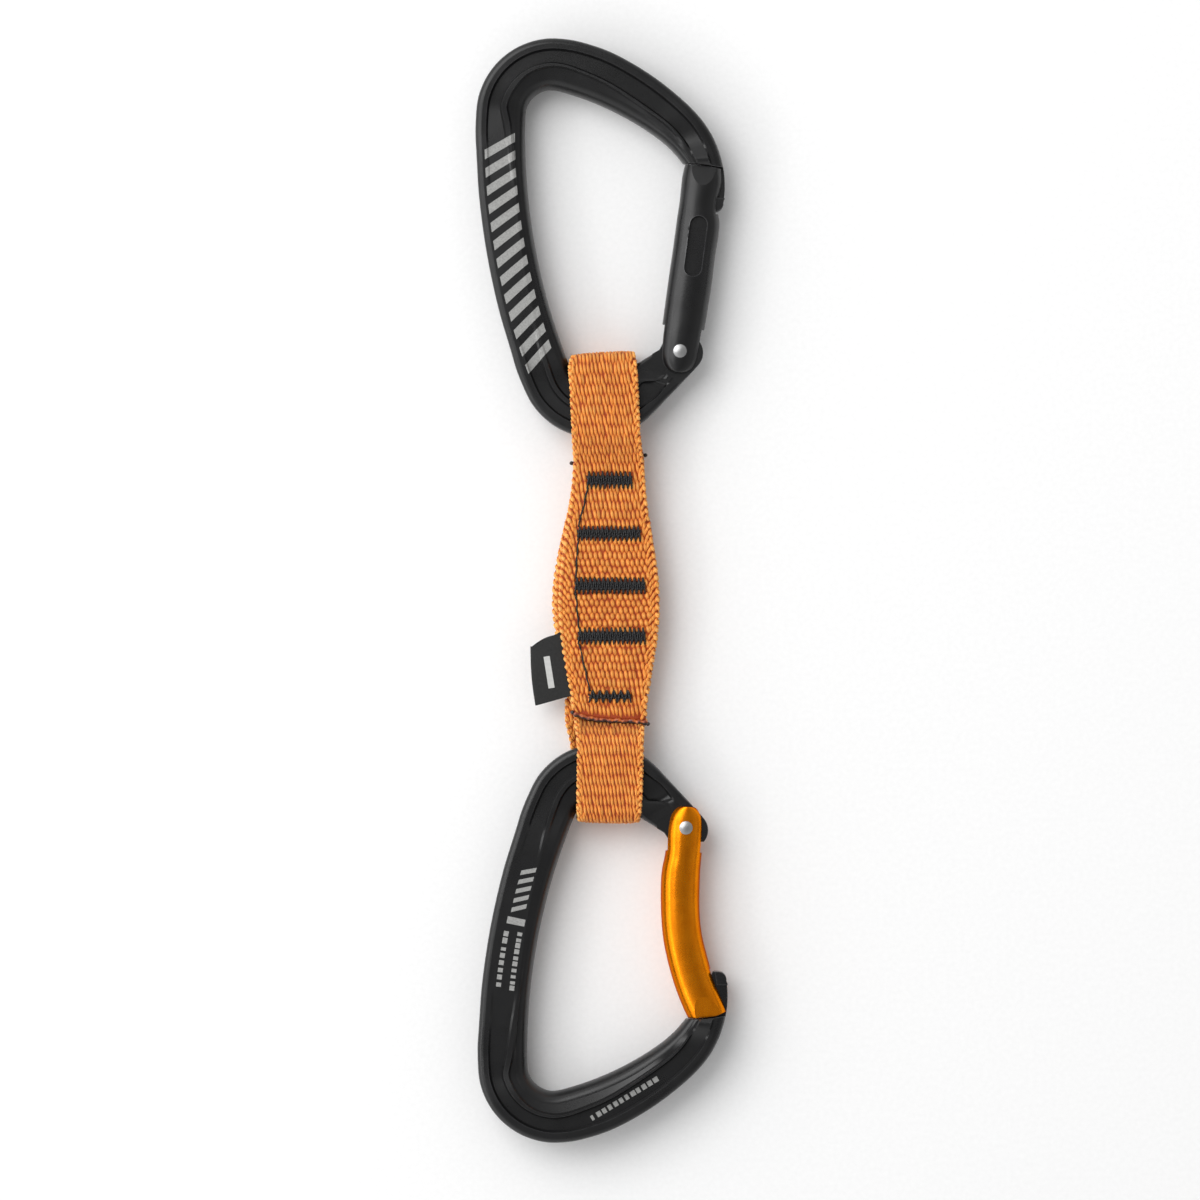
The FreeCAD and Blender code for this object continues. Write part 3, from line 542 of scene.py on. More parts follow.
def selvedges(pieces):
    """The strip's edges: short loops round its sides, and plump slanting floats beside them."""
    for edge in (-1, 1):
        for side in (1, -1):
            s = 0.9 + (0.5 * SELVEDGE_PITCH if side < 0 else 0)
            while s < STRIP_LENGTH - 0.6:
                left, right = edges(s)
                rim = left if edge < 0 else right
                border = float(selvedge_width(s))
                wide = float(spread(s))
                pitch = SELVEDGE_PITCH * (1 + rng.normal(0, 0.06))
                y = float(np.interp(s, S, PATH_Y))
                piece = pieces[piece_of(y)]
                direction = 1 if np.interp(s, S, TANGENT[:, 0]) > 0 else -1
                rows = CLOSED_ROWS if wide < 0.4 else OPEN_ROWS
                for row, (offset, width) in enumerate(rows):
                    inwards, leaning, further, higher, paler = rng.normal(0, 1, 5) * ROW_UNEVEN
                    x = rim - edge * (offset * border + inwards)
                    lean = direction * edge * (ROW_LEAN + leaning)
                    shift = 0.5 * pitch * (row % 2) + further
                    middle = min(max(s + shift, END_MARGIN), STRIP_LENGTH - END_MARGIN)
                    yarn_float(piece, middle, x, pitch * ROW_LENGTH, width * ROW_WIDTH,
                               FLOAT_HEIGHT * (1 + higher), side, lean, 0.55 + paler)
                steeper, thicker, higher, paler = rng.normal(0, 1, 4) * SELVEDGE_UNEVEN
                slope = -direction * edge * SELVEDGE_SLANT * pitch * (1 + steeper)
                bulk = (SELVEDGE_RADIUS + SELVEDGE_SWELL * wide) * (1 + thicker)
                line = []
                for t, offset, rise in SELVEDGE_LOOP:
                    x = rim - edge * offset * (1 + 0.2 * wide)
                    line.append(place(s + slope * (t - 0.5), x, side * (WEB_CORE + rise + higher)))
                swell = np.sin(np.linspace(0.35, math.pi - 0.35, SELVEDGE_RINGS)) ** 0.6
                # Low heights at the loop's ends give them the webbing's painted shade.
                tube(piece, smooth_line(line, SELVEDGE_RINGS), bulk * swell, np.clip(swell - 0.05, 0, 1),
                     0.62 + paler, 0.85)
                s += pitch


def zigzag(threads, y, left, right, height, level, side, pitch):
    """Zigzag stitching on a face of the sling: long pointed strokes over shorter filling ones."""
    strokes = 2 * int(round((right - left) / pitch))
    step = (right - left) / strokes
    for up_first, reach, lift in ZIGZAG_PASSES:
        for k in range(strokes):
            up = up_first if k % 2 == 0 else -up_first
            open_teeth = TOOTH_PITCHES[0] / pitch if reach < 0.5 else 1.0
            tall = height * reach * open_teeth * (1 + rng.normal(0, 0.04))
            x0 = left + k * step + rng.normal(0, 0.03)
            x1 = left + (k + 1) * step + rng.normal(0, 0.03)
            bow = STITCH_BOW + lift + rng.normal(0, 0.03)
            line = []
            for t, rise in ((0, -0.30), (0.06, 0.06), (0.3, bow), (0.65, bow), (0.94, 0.06), (1, -0.30)):
                line.append((x0 + (x1 - x0) * t + 0.10 * math.sin(math.pi * t),
                             y + up * tall * (2 * t - 1), level + side * rise))
            bulk = STITCH_RADIUS * (pitch / TOOTH_PITCHES[0]) ** 0.4
            swell = np.sin(np.linspace(0, math.pi, STITCH_RINGS)) ** 0.5
            thickness = STITCH_TIP_RADIUS + (bulk - STITCH_TIP_RADIUS) * swell
            tube(threads, smooth_line(line, STITCH_RINGS), thickness, 0.6 + 0.2 * rng.random(), rng.random())


def jump(threads, start, end):
    """The thread that runs down the front from one row of stitching to the next."""
    line = []
    for k in range(JUMP_WAVES + 1):
        t = k / JUMP_WAVES
        x = start[0] + (end[0] - start[0]) * t + (rng.normal(0, 0.07) if 0 < k < JUMP_WAVES else 0)
        y = start[1] + (end[1] - start[1]) * t
        dip = -0.16 if k % 2 else 0.10
        line.append((x, y, FRONT_FACE + 0.02 + dip))
    tube(threads, smooth_line(line, JUMP_POINTS), STITCH_RADIUS, 0.5, 0.5)


# ---- materials ----
class Shader:
    """A material's node tree, with one short call for each kind of node."""

    def __init__(self, name):
        self.material = bpy.data.materials.new(name)
        self.material.use_nodes = True
        self.tree = self.material.node_tree
        self.tree.nodes.clear()
        self.output = self.node("ShaderNodeOutputMaterial")
        self.surface = self.node("ShaderNodeBsdfPrincipled")
        self.tree.links.new(self.surface.outputs["BSDF"], self.output.inputs["Surface"])
        self.coordinates = self.node("ShaderNodeTexCoord").outputs["Object"]

    def node(self, kind, **settings):
        made = self.tree.nodes.new(kind)
        for key, value in settings.items():
            setattr(made, key, value)
        return made

    def put(self, socket, value):
        """Links a socket to another one, or gives it a plain value."""
        if hasattr(value, "is_linked"):
            self.tree.links.new(value, socket)
        else:
            socket.default_value = value

    def set(self, **values):
        for key, value in values.items():
            self.put(self.surface.inputs[key.replace("_", " ")], value)

    def math(self, operation, a, b=0.5):
        made = self.node("ShaderNodeMath", operation=operation)
        self.put(made.inputs[0], a)
        self.put(made.inputs[1], b)
        return made.outputs[0]

    def noise(self, scale, detail, roughness=0.55, stretch=None):
        vector = self.coordinates
        if stretch:
            mapped = self.node("ShaderNodeMapping")
            self.put(mapped.inputs["Vector"], vector)
            mapped.inputs["Scale"].default_value = stretch
            vector = mapped.outputs[0]
        made = self.node("ShaderNodeTexNoise")
        self.put(made.inputs["Vector"], vector)
        made.inputs["Scale"].default_value = scale
        made.inputs["Detail"].default_value = detail
        made.inputs["Roughness"].default_value = roughness
        return made.outputs["Fac"]

    def ramp(self, factor, stops):
        made = self.node("ShaderNodeValToRGB")
        self.put(made.inputs[0], factor)
        elements = made.color_ramp.elements
        while len(elements) < len(stops):
            elements.new(0.5)
        for element, (position, colour) in zip(elements, stops):
            element.position = position
            element.color = (*colour, 1)
        return made.outputs["Color"]

    def span(self, value, low, high, to_low, to_high):
        made = self.node("ShaderNodeMapRange")
        for socket, number in zip(made.inputs, (value, low, high, to_low, to_high)):
            self.put(socket, number)
        return made.outputs[0]

    def mix(self, factor, a, b, blend="MIX"):
        made = self.node("ShaderNodeMix", data_type="RGBA", blend_type=blend)
        self.put(made.inputs[0], factor)
        self.put(made.inputs[6], (*a, 1) if isinstance(a, tuple) else a)
        self.put(made.inputs[7], (*b, 1) if isinstance(b, tuple) else b)
        return made.outputs[2]

    def grey(self, value):
        made = self.node("ShaderNodeCombineColor")
        for socket in made.inputs:
            self.put(socket, value)
        return made.outputs[0]

    def bump(self, height, distance, strength):
        made = self.node("ShaderNodeBump")
        made.inputs["Strength"].default_value = strength
        made.inputs["Distance"].default_value = distance
        self.put(made.inputs["Height"], height)
        return made.outputs[0]

    def attribute(self, name, output):
        return self.node("ShaderNodeAttribute", attribute_name=name).outputs[output]

    def axes(self, vector):
        made = self.node("ShaderNodeSeparateXYZ")
        self.put(made.inputs[0], vector)
        return made.outputs


def webbing_material():
    """Twisted orange yarns, with painted shade in the gaps of the weave and a painted highlight on the yarns'
    tops and ply ridges.
    """
    sh = Shader("orange_webbing_weave")
    height = sh.attribute("yarn_height", "Fac")
    along, across, tint = sh.axes(sh.attribute("yarn_lay", "Vector"))
    slant = sh.math("ADD", across, sh.math("MULTIPLY", along, 0.12))
    plies = sh.math("SINE", sh.math("MULTIPLY", slant, 21.0))
    fibre = sh.noise(5200, 2.0)
    patch = sh.noise(160, 3.0)
    # The level sets the painted shade and highlight: dark in the gaps, light on the tops and ply ridges.
    level = sh.math("ADD", height, sh.math("MULTIPLY", plies, 0.07))
    level = sh.math("ADD", level, sh.span(patch, 0.3, 0.7, -0.07, 0.07))
    colour = sh.ramp(level, WEBBING_PAINTED_SHADING)
    # The tint holds each yarn's random tone and, just under the front layer's melted end, a painted shadow.
    shade = sh.span(sh.math("ADD", tint, sh.span(fibre, 0.3, 0.7, -0.2, 0.2)), -2.0, 1.0, 0.17, 1.055)
    colour = sh.mix(1.0, colour, sh.grey(shade), "MULTIPLY")
    sh.set(Base_Color=colour, Roughness=sh.span(fibre, 0.2, 0.8, 0.52, 0.72), Sheen_Weight=0.25,
           Sheen_Roughness=0.5, Specular_IOR_Level=0.35,
           Normal=sh.bump(sh.math("ADD", plies, sh.math("MULTIPLY", fibre, 0.7)), 0.00004, 0.8))
    sh.surface.inputs["Sheen Tint"].default_value = (1.0, 0.78, 0.5, 1)
    return sh.material


def thread_material():
    """Glossy black twisted thread, with a painted highlight along the twist's ridges."""
    sh = Shader("black_sewing_thread")
    along, across, _ = sh.axes(sh.attribute("yarn_lay", "Vector"))
    turn = sh.math("ADD", sh.math("MULTIPLY", along, 9.0), sh.math("MULTIPLY", across, 2 * math.pi))
    twist = sh.math("SINE", turn)
    fibre = sh.noise(4200, 2.0)
    dark = sh.mix(sh.span(fibre, 0.3, 0.7, 0, 1), (0.002, 0.002, 0.003), (0.006, 0.006, 0.007))
    # Painted highlight: the twist's ridges are coloured paler.
    colour = sh.mix(sh.span(twist, 0.2, 1.0, 0, 0.6), dark, (0.030, 0.030, 0.033))
    sh.set(Base_Color=colour, Roughness=sh.span(fibre, 0.2, 0.8, 0.24, 0.36), Specular_IOR_Level=0.40,
           Normal=sh.bump(twist, 0.00005, 0.9))
    return sh.material


def melted_material():
    """Webbing that was cut hot: hardened, glossy, from red-brown to nearly black."""
    sh = Shader("melted_webbing_edge")
    lumps = sh.noise(900, 4.0)
    fine = sh.noise(3500, 2.0)
    facing = sh.axes(sh.node("ShaderNodeNewGeometry").outputs["Normal"])["Y"]
    lower_side = sh.span(sh.math("ADD", facing, sh.span(lumps, 0.3, 0.7, -0.5, 0.5)), -0.4, 0.3, 1.0, 0.0)
    singed = sh.math("MAXIMUM", lower_side, sh.span(sh.attribute("yarn_height", "Fac"), 0.0, 0.5, 1.0, 0.0))
    mottle = sh.math("MAXIMUM", sh.span(lumps, 0.48, 0.62, 0.0, 0.9), sh.span(fine, 0.5, 0.7, 0.0, 0.5))
    colour = sh.mix(mottle, (0.26, 0.040, 0.012), (0.66, 0.17, 0.03))
    colour = sh.mix(singed, colour, (0.022, 0.013, 0.012))
    sh.set(Base_Color=colour, Roughness=sh.span(lumps, 0.3, 0.7, 0.22, 0.45), Specular_IOR_Level=0.5,
           Normal=sh.bump(sh.math("ADD", lumps, sh.math("MULTIPLY", fine, 0.3)), 0.00015, 0.7))
    return sh.material


def metal_finish(sh, colour, roughness, metallic, grain):
    """Fine sparkle, soft smudges and a faint grain, shared by all metal parts."""
    fine = sh.noise(3600, 2.0, 0.6)
    smudge = sh.noise(70, 4.0)
    rough = sh.math("ADD", sh.span(smudge, 0.3, 0.7, roughness - 0.04, roughness + 0.05),
                    sh.span(fine, 0.3, 0.7, -0.03, 0.03))
    sh.set(Base_Color=colour, Roughness=rough, Metallic=metallic, Normal=sh.bump(fine, grain, 0.6))


def edge_wear_and_highlight(sh):
    """1 along sharp outer edges, where the surface is thin seen from inside; there the finish is lightened
    for wear and a painted highlight.
    """
    inside = sh.node("ShaderNodeAmbientOcclusion", inside=True, only_local=True, samples=6)
    inside.inputs["Distance"].default_value = EDGE_REACH * MM
    return sh.span(inside.outputs["AO"], 0.45, 0.85, 1.0, 0.0)


def box_mask(sh, a, b, ranges):
    """1 where a and b are both inside their (low, high) ranges."""
    result = None
    for value, (low, high) in zip((a, b), ranges):
        inside = sh.math("LESS_THAN", sh.math("ABSOLUTE", sh.math("SUBTRACT", value, (low + high) / 2)),
                         (high - low) / 2)
        result = inside if result is None else sh.math("MULTIPLY", result, inside)
    return result


def spine_axes(sh, centre, radius):
    """Distance along and across the spine's arc, in millimetres."""
    x, y, z = sh.axes(sh.coordinates)
    dx = sh.math("SUBTRACT", x, centre[0] * MM)
    dy = sh.math("SUBTRACT", y, centre[1] * MM)
    distance = sh.math("SQRT", sh.math("ADD", sh.math("MULTIPLY", dx, dx), sh.math("MULTIPLY", dy, dy)))
    across = sh.math("MULTIPLY", sh.math("SUBTRACT", distance, radius * MM), 1 / MM)
    turn = sh.math("ARCTAN2", dy, sh.math("MULTIPLY", dx, -1.0))
    return sh.math("MULTIPLY", turn, radius), across, z


def anodised_black(name, marks=None):
    """Black anodising with paler sharp edges, from wear and partly a painted highlight, and, on the bodies,
    pale plain marks.
    """
    sh = Shader(name)
    shade = sh.span(sh.noise(240, 3.0), 0.3, 0.7, 0, 1)
    colour = sh.mix(shade, (0.0045, 0.0045, 0.0048), (0.0075, 0.0075, 0.008))
    # Sharp edges painted paler: wear of the anodising, and partly a painted highlight along them.
    worn_and_highlit = sh.math("MULTIPLY", edge_wear_and_highlight(sh), sh.span(sh.noise(500, 3.0), 0.35, 0.6, 0.35, 0.8))
    colour = sh.mix(worn_and_highlit, colour, (0.075, 0.075, 0.078))
    metal_finish(sh, colour, 0.30, 0.0, 0.000008)
    sh.set(Specular_IOR_Level=0.42)
    if marks:
        speckle = sh.span(sh.noise(2600, 2.0), 0.35, 0.65, 0.75, 1.0)
        mask = sh.math("MULTIPLY", marks(sh), speckle)
        sh.set(Base_Color=sh.mix(mask, colour, (0.36, 0.36, 0.35)))
    return sh.material


def turned_axes(sh, centre, degrees):
    """Distances from a point along two axes that are turned in plan, in millimetres."""
    x, y, _ = sh.axes(sh.coordinates)
    dx = sh.math("SUBTRACT", sh.math("DIVIDE", x, MM), centre[0])
    dy = sh.math("SUBTRACT", sh.math("DIVIDE", y, MM), centre[1])
    cosine, sine = math.cos(math.radians(degrees)), math.sin(math.radians(degrees))
    first = sh.math("ADD", sh.math("MULTIPLY", dx, cosine), sh.math("MULTIPLY", dy, sine))
    second = sh.math("SUBTRACT", sh.math("MULTIPLY", dy, cosine), sh.math("MULTIPLY", dx, sine))
    return first, second


def slanting_bars(sh, along, across, slant, start, pitch, share, band):
    """Evenly spaced plain bars, slanting across the spine."""
    slanted = sh.math("ADD", along, sh.math("MULTIPLY", across, slant))
    cell = sh.math("FRACT", sh.math("DIVIDE", sh.math("SUBTRACT", slanted, start), pitch))
    return sh.math("MULTIPLY", sh.math("LESS_THAN", cell, share), box_mask(sh, slanted, across, band))


def on_front(sh, mask, z):
    """The mask, on the front half of the part only."""
    return sh.math("MULTIPLY", mask, sh.math("GREATER_THAN", z, MID_PLANE * MM))


def upper_marks(sh):
    """Plain slanting bars along the upper carabiner's spine."""
    along, across, z = spine_axes(sh, UPPER_SPINE_CENTRE, SPINE_RADIUS)
    return on_front(sh, slanting_bars(sh, along, across, *UPPER_BARS), z)


def dash_rows(sh, along, across, rows):
    """Rows of short plain dashes of uneven length."""
    total = None
    for start, end, low, high, pitch in rows:
        cell = sh.math("DIVIDE", sh.math("SUBTRACT", along, start), pitch)
        random = sh.node("ShaderNodeTexWhiteNoise", noise_dimensions="1D")
        sh.put(random.inputs["W"], sh.math("ADD", sh.math("FLOOR", cell), low * 7.3))
        share = sh.span(random.outputs["Value"], 0, 1, 0.42, 0.84)
        dashes = sh.math("LESS_THAN", sh.math("FRACT", cell), share)
        row = sh.math("MULTIPLY", dashes, box_mask(sh, along, across, ((start, end), (low, high))))
        total = row if total is None else sh.math("MAXIMUM", total, row)
    return total


def lower_marks(sh):
    """Small plain bars and dashes on the lower carabiner."""
    along, across, z = spine_axes(sh, LOWER_SPINE_CENTRE, SPINE_RADIUS)
    bow_along, bow_across = turned_axes(sh, BOW_ROW_CENTRE, BOW_ROW_TURN)
    marks = sh.math("MAXIMUM", dash_rows(sh, along, across, LOWER_DASHES),
                    slanting_bars(sh, along, across, *LOWER_BARS))
    marks = sh.math("MAXIMUM", marks, dash_rows(sh, bow_along, bow_across, BOW_DASHES))
    return on_front(sh, marks, z)


def anodised_gold():
    """Golden-orange anodising, with fine speckle and streaks along the gate."""
    sh = Shader("gold_anodised_finish")
    shade = sh.span(sh.noise(300, 3.0), 0.3, 0.7, 0, 1)
    colour = sh.mix(shade, (0.82, 0.240, 0.0045), (0.92, 0.298, 0.008))
    speckle = sh.span(sh.noise(5200, 2.0), 0.32, 0.68, 0.0, 0.55)
    streaks = sh.span(sh.noise(1500, 3.0, stretch=(1, 0.10, 1)), 0.40, 0.66, 0.0, 0.45)
    colour = sh.mix(sh.math("MAXIMUM", speckle, streaks), colour, (0.62, 0.138, 0.003))
    metal_finish(sh, colour, 0.27, 0.94, 0.000002)
    sh.surface.inputs["Specular Tint"].default_value = (0.50, 0.22, 0.10, 1)
    return sh.material


def steel(name, tone, roughness):
    """Drawn steel of one brightness, from 0 to 1."""
    sh = Shader(name)
    shade = sh.span(sh.noise(900, 4.0, stretch=(1, 0.25, 1)), 0.3, 0.7, 0, 1)
    colour = sh.mix(shade, (tone * 0.8,) * 3, (tone,) * 3)
    metal_finish(sh, colour, roughness, 1.0, 0.000008)
    return sh.material


def label_material():
    """Black ribbon with one plain pale bar."""
    sh = Shader("label_fabric_twill")
    x, y, _ = sh.axes(sh.coordinates)
    twill = sh.math("SINE", sh.math("MULTIPLY", sh.math("ADD", x, sh.math("MULTIPLY", y, 0.8)), 16000.0))
    weft = sh.math("SINE", sh.math("MULTIPLY", y, 21000.0))
    height = sh.math("ADD", twill, sh.math("MULTIPLY", weft, 0.6))
    fibre = sh.noise(2500, 3.0)
    colour = sh.mix(sh.span(height, -1.5, 1.5, 0, 1), (0.003, 0.003, 0.003), (0.012, 0.012, 0.012))
    mark = box_mask(sh, *turned_axes(sh, LABEL_MARK, LABEL_TURN), LABEL_BAR)
    thread = sh.mix(sh.span(weft, -1, 1, 0, 1), (0.42, 0.42, 0.41), (0.66, 0.66, 0.64))
    sh.set(Base_Color=sh.mix(mark, colour, thread), Roughness=sh.span(fibre, 0.2, 0.8, 0.65, 0.85),
           Sheen_Weight=0.08, Normal=sh.bump(height, 0.00003, 0.6))
    return sh.material


# ---- the sling's pieces ----
def build_sling():
    """The three woven pieces, which meet in the sewn middle."""
    pieces = {"upper": Yarns(), "middle": Yarns(), "lower": Yarns()}
    weave(pieces)
    selvedges(pieces)
    for run in range(3):
        core(pieces["middle"], *sorted((strip_at(run, PIECE_Y), strip_at(run, -PIECE_Y))))
    core(pieces["upper"], CORE_END, strip_at(0, PIECE_Y))
    core(pieces["upper"], strip_at(1, PIECE_Y), strip_at(2, PIECE_Y))
    core(pieces["lower"], strip_at(0, -PIECE_Y), strip_at(1, -PIECE_Y))
    core(pieces["lower"], strip_at(2, -PIECE_Y), STRIP_LENGTH - CORE_END)
    made = {}
    for key, yarns in pieces.items():
        made[key] = yarns.build("sling_weave_" + key, WEBBING, "orange_webbing")
    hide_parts("sewn_middle")
    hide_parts("upper_loop")
    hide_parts("lower_loop")
    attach(made["middle"], "sling")
    bend_up(made["upper"])
    bend_down(made["lower"])


def bend_up(obj):
    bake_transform(obj)


def bend_down(obj):
    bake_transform(obj)


def build_stitching():
    """Rows of zigzag on both faces, and the threads that join them on the front."""
    for k, (y, left, right, height) in enumerate(TACKS):
        threads = Yarns()
        zigzag(threads, y, left, right, height, FRONT_FACE - STITCH_SINK, 1, TOOTH_PITCHES[k])
        zigzag(threads, y, left, right, height, BACK_FACE + STITCH_SINK, -1, TOOTH_PITCHES[k])
        obj = threads.build("tack_stitching_%d" % (k + 1), THREAD, "black_thread")
        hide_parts("bar_tack_%d" % (k + 1))
        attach(obj, "sling")
    for k, (upper, lower) in enumerate(zip(TACKS, TACKS[1:])):
        upper_y, upper_left, _, upper_height = upper
        lower_y, lower_left, _, lower_height = lower
        threads = Yarns()
        jump(threads, (upper_left + JUMP_INSET, upper_y - upper_height * JUMP_REACH),
             (lower_left + JUMP_INSET, lower_y + lower_height * JUMP_REACH))
        obj = threads.build("jump_stitch_%d" % (k + 1), THREAD, "black_thread")
        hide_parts("jump_thread_%d" % (k + 1))
        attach(obj, "sling")


def melted_end(name, line):
    """A lumpy bead of melted webbing along a cut end, thicker at its two corners."""
    lumps = Yarns()
    points = smooth_line(line, 60)
    points[:, 1] += 0.10 * np.sin(points[:, 0] * 2.1) + rng.normal(0, 0.04, len(points))
    radii = MELT_RADIUS + 0.09 * np.sin(points[:, 0] * 3.7) + rng.normal(0, 0.04, len(points))
    radii[[0, -1]], radii[[1, -2]] = MELT_TIP_RADII
    tube(lumps, points, radii, 0.5, 0.5, 0.85)
    for end in (points[0], points[-1]):
        reach = np.linspace(-0.98, 0.98, 9)
        centres = end + np.outer(reach, (BEAD_RADIUS, 0.08, 0.0))
        tube(lumps, centres, BEAD_RADIUS * np.sqrt(1 - reach ** 2) * (1 + 0.06 * np.sin(9 * reach)), 0.0, 0.5)
    return lumps.build(name, MELTED, "orange_webbing")


def build_melted_ends():
    front = [(x, front_cut(x) + 0.05, FRONT_MELT_Z) for x in FRONT_MELT_X]
    corner_x, corner_z = FRONT_MELT_CORNER
    front.append((corner_x, front_cut(corner_x), corner_z))
    bend_down(melted_end("melted_end_front", front))
    back = [(x, back_cut(x), STRIP_CORNERS[0][1]) for x in BACK_MELT_X]
    bend_up(melted_end("melted_end_back", back))


def build_label():
    """The folded tab: two layers of thin fabric with their fold on the left."""
    # The profile's points: (share of the way from the fold to the seam, distance to the right, rise).
    outer, inner = [], []
    for u in np.linspace(1.0, 0.0, LABEL_COLUMNS):
        outer.append((u, 0.0, 0.0))
        inner.append((u, 0.0, LABEL_CLOTH))
    half_gap = LABEL_GAP / 2
    radius = LABEL_CLOTH + half_gap
    for angle in np.linspace(0, math.pi, LABEL_FOLD_STEPS + 1)[1:-1]:
        turned = 1 - math.cos(angle)
        outer.append((0.0, -radius * math.sin(angle), radius * turned))
        inner.append((0.0, -half_gap * math.sin(angle), LABEL_CLOTH + half_gap * turned))
    for u in np.linspace(0.0, 1.0, LABEL_COLUMNS):
        outer.append((u, 0.0, 2 * radius))
        inner.append((u, 0.0, LABEL_CLOTH + LABEL_GAP))
    profile = outer + inner[::-1]
    top_left, top_right, bottom_right, bottom_left = np.array(LABEL_CORNERS)
    verts, faces = [], []
    for j in range(LABEL_ROWS):
        v = j / (LABEL_ROWS - 1)
        left = bottom_left * (1 - v) + top_left * v
        right = bottom_right * (1 - v) + top_right * v
        left = left + np.array([-LABEL_SIDE_BOW * math.sin(math.pi * v), 0])
        for u, out, rise in profile:
            x, y = left * (1 - u) + right * u
            y += LABEL_TOP_BOW * math.sin(math.pi * min(u * 1.25, 1)) * v ** 3
            free = (1 - u) ** 2
            wave = LABEL_WAVE * math.sin(5.0 * v + 0.6) - LABEL_SAG
            z = LABEL_BOTTOM + rise + free * wave - LABEL_CURL * free * (2 * v - 1) ** 2
            verts.append(((x + out) * MM, y * MM, z * MM))
    sides = len(profile)
    for j in range(LABEL_ROWS - 1):
        for k in range(sides):
            n = (k + 1) % sides
            faces.append((j * sides + k, j * sides + n, (j + 1) * sides + n, (j + 1) * sides + k))
    half = len(outer)
    for k in range(half - 1):
        a, b = sides - 1 - k, sides - 2 - k
        faces.append((k + 1, k, a, b))
        last = (LABEL_ROWS - 1) * sides
        faces.append((last + k, last + k + 1, last + b, last + a))
    obj = add_mesh("label_fold", verts, faces, label_material())
    obj.data.set_sharp_from_angle(angle=math.radians(50))
    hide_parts("label_tab")
    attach(obj, "sling")


WEBBING = webbing_material()
THREAD = thread_material()
MELTED = melted_material()
build_sling()
build_stitching()
build_melted_ends()
build_label()


# ---- metal parts ----
def build_spring(side, pin, direction, material):
    """A coil spring in the gate's bore."""
    axis = np.array([direction[0], direction[1], 0.0])
    sideways = np.array([-direction[1], direction[0], 0.0])
    start = np.array([pin[0], pin[1], MID_PLANE])
    rings = SPRING_TURNS * SPRING_STEPS + 1
    share = np.linspace(0, 1, rings)[:, None]
    turn = 2 * math.pi * SPRING_TURNS * share
    outwards = np.cos(turn) * sideways + np.sin(turn) * np.array([0.0, 0.0, 1.0])
    centres = start + (SPRING_START + (SPRING_END - SPRING_START) * share) * axis + SPRING_RADIUS * outwards
    angle = np.linspace(0, 2 * math.pi, TUBE_SIDES, endpoint=False)[None, :, None]
    points = centres[:, None, :] + SPRING_WIRE_RADIUS * (
        np.cos(angle) * outwards[:, None, :] - np.sin(angle) * axis)
    obj = add_mesh(side + "_gate_coil", points.reshape(-1, 3) * MM, ring_faces(rings, TUBE_SIDES), material)
    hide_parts(side + "_gate_spring")
    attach(obj, side + "_gate_arm")
    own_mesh(obj)


BLACK = anodised_black("black_anodised_plain")
FINISHES = {
    "upper_body": anodised_black("black_anodised_upper", upper_marks),
    "lower_body": anodised_black("black_anodised_lower", lower_marks),
    "upper_gate": BLACK,
    "lower_gate": anodised_gold(),
}
RIVET_STEEL = steel("rivet_steel_brushed", 0.50, 0.34)
SPRING_STEEL = steel("spring_steel_drawn", 0.5, 0.35)
for side in ("upper", "lower"):
    FINISHES[side + "_gate_rivet"] = RIVET_STEEL
    FINISHES[side + "_gate_plunger"] = RIVET_STEEL
    build_spring(side, *SPRINGS[side], SPRING_STEEL)
for name, material in FINISHES.items():
    slots = frame["nodes"][name].data.materials
    for index in range(len(slots)):
        slots[index] = material


# ---- floor, light and camera ----
def floor():
    """A pale floor just under the quickdraw."""
    sh = Shader("pale_floor")
    tone = sh.span(sh.noise(900, 3.0), 0.3, 0.7, 0.90, 0.93)
    sh.set(Base_Color=sh.grey(tone), Roughness=0.9, Specular_IOR_Level=0.1)
    corners = [(x * FLOOR_HALF_SIZE, y * FLOOR_HALF_SIZE, 0) for x, y in ((-1, -1), (1, -1), (1, 1), (-1, 1))]
    obj = add_mesh("floor", corners, [(0, 1, 2, 3)], sh.material)
    obj.location = (0, 0, cad_box[0].z - FLOOR_DROP)


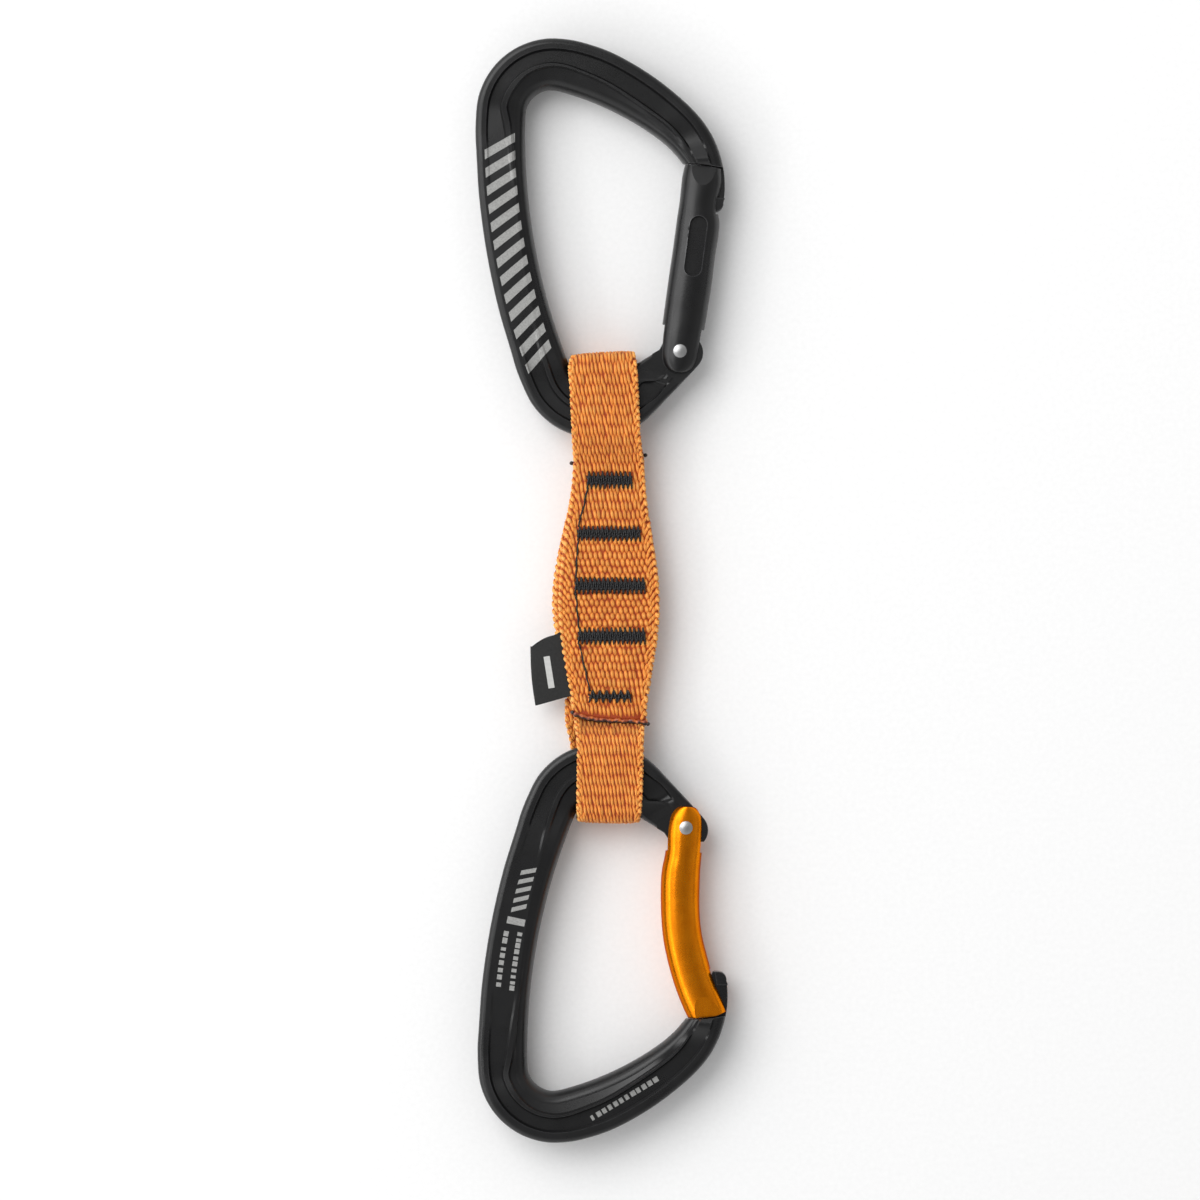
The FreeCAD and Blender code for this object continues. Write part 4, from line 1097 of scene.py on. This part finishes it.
def area_light(name, location, size, power):
    """A rectangular light aimed at the quickdraw's middle."""
    data = bpy.data.lights.new(name, "AREA")
    data.shape = "RECTANGLE"
    data.size, data.size_y = size
    data.energy = power
    obj = add_object(name, data)
    obj.location = location
    obj.rotation_euler = (-Vector(location)).to_track_quat("-Z", "Y").to_euler()
    obj.visible_camera = False


floor()
area_light("key_softbox", (-0.58, 0.52, 1.05), (1.0, 1.0), 9.4)
area_light("side_softbox", (1.0, -0.10, 0.42), (1.2, 0.2), 0.15)
area_light("left_strip", (-0.95, -0.12, 0.62), (1.0, 0.16), 1.5)


def studio_world():
    """Soft surroundings, darker straight above and to the right."""
    world = bpy.data.worlds.new("studio")
    bpy.context.scene.world = world
    world.use_nodes = True
    nodes, links = world.node_tree.nodes, world.node_tree.links
    direction = nodes.new("ShaderNodeTexCoord").outputs["Generated"]
    axes = nodes.new("ShaderNodeSeparateXYZ")
    links.new(direction, axes.inputs[0])
    ramp = nodes.new("ShaderNodeValToRGB")
    links.new(axes.outputs["Z"], ramp.inputs[0])
    stops = ramp.color_ramp.elements
    stops.new(0.5)
    for stop, (position, level) in zip(stops, WORLD_LEVELS):
        stop.position = position
        stop.color = (level, level, level, 1)
    links.new(ramp.outputs[0], nodes["Background"].inputs["Color"])
    strength = nodes.new("ShaderNodeMath")
    strength.operation = "MULTIPLY_ADD"
    links.new(axes.outputs["X"], strength.inputs[0])
    strength.inputs[1].default_value = -WORLD_STRENGTH * WORLD_SLANT
    strength.inputs[2].default_value = WORLD_STRENGTH
    links.new(strength.outputs[0], nodes["Background"].inputs["Strength"])


studio_world()

camera_data = bpy.data.cameras.new("camera")
camera_data.sensor_width = SENSOR_WIDTH
camera_data.lens = SENSOR_WIDTH * CAMERA_DISTANCE / VIEW_WIDTH
camera_data.clip_start = 0.01
camera_data.clip_end = 20.0
camera = add_object("camera", camera_data)
camera.location = (VIEW_CENTRE[0] * MM, VIEW_CENTRE[1] * MM, (CAMERA_DISTANCE + MID_PLANE) * MM)
bpy.context.scene.camera = camera
bpy.context.scene.view_settings.view_transform = "Standard"
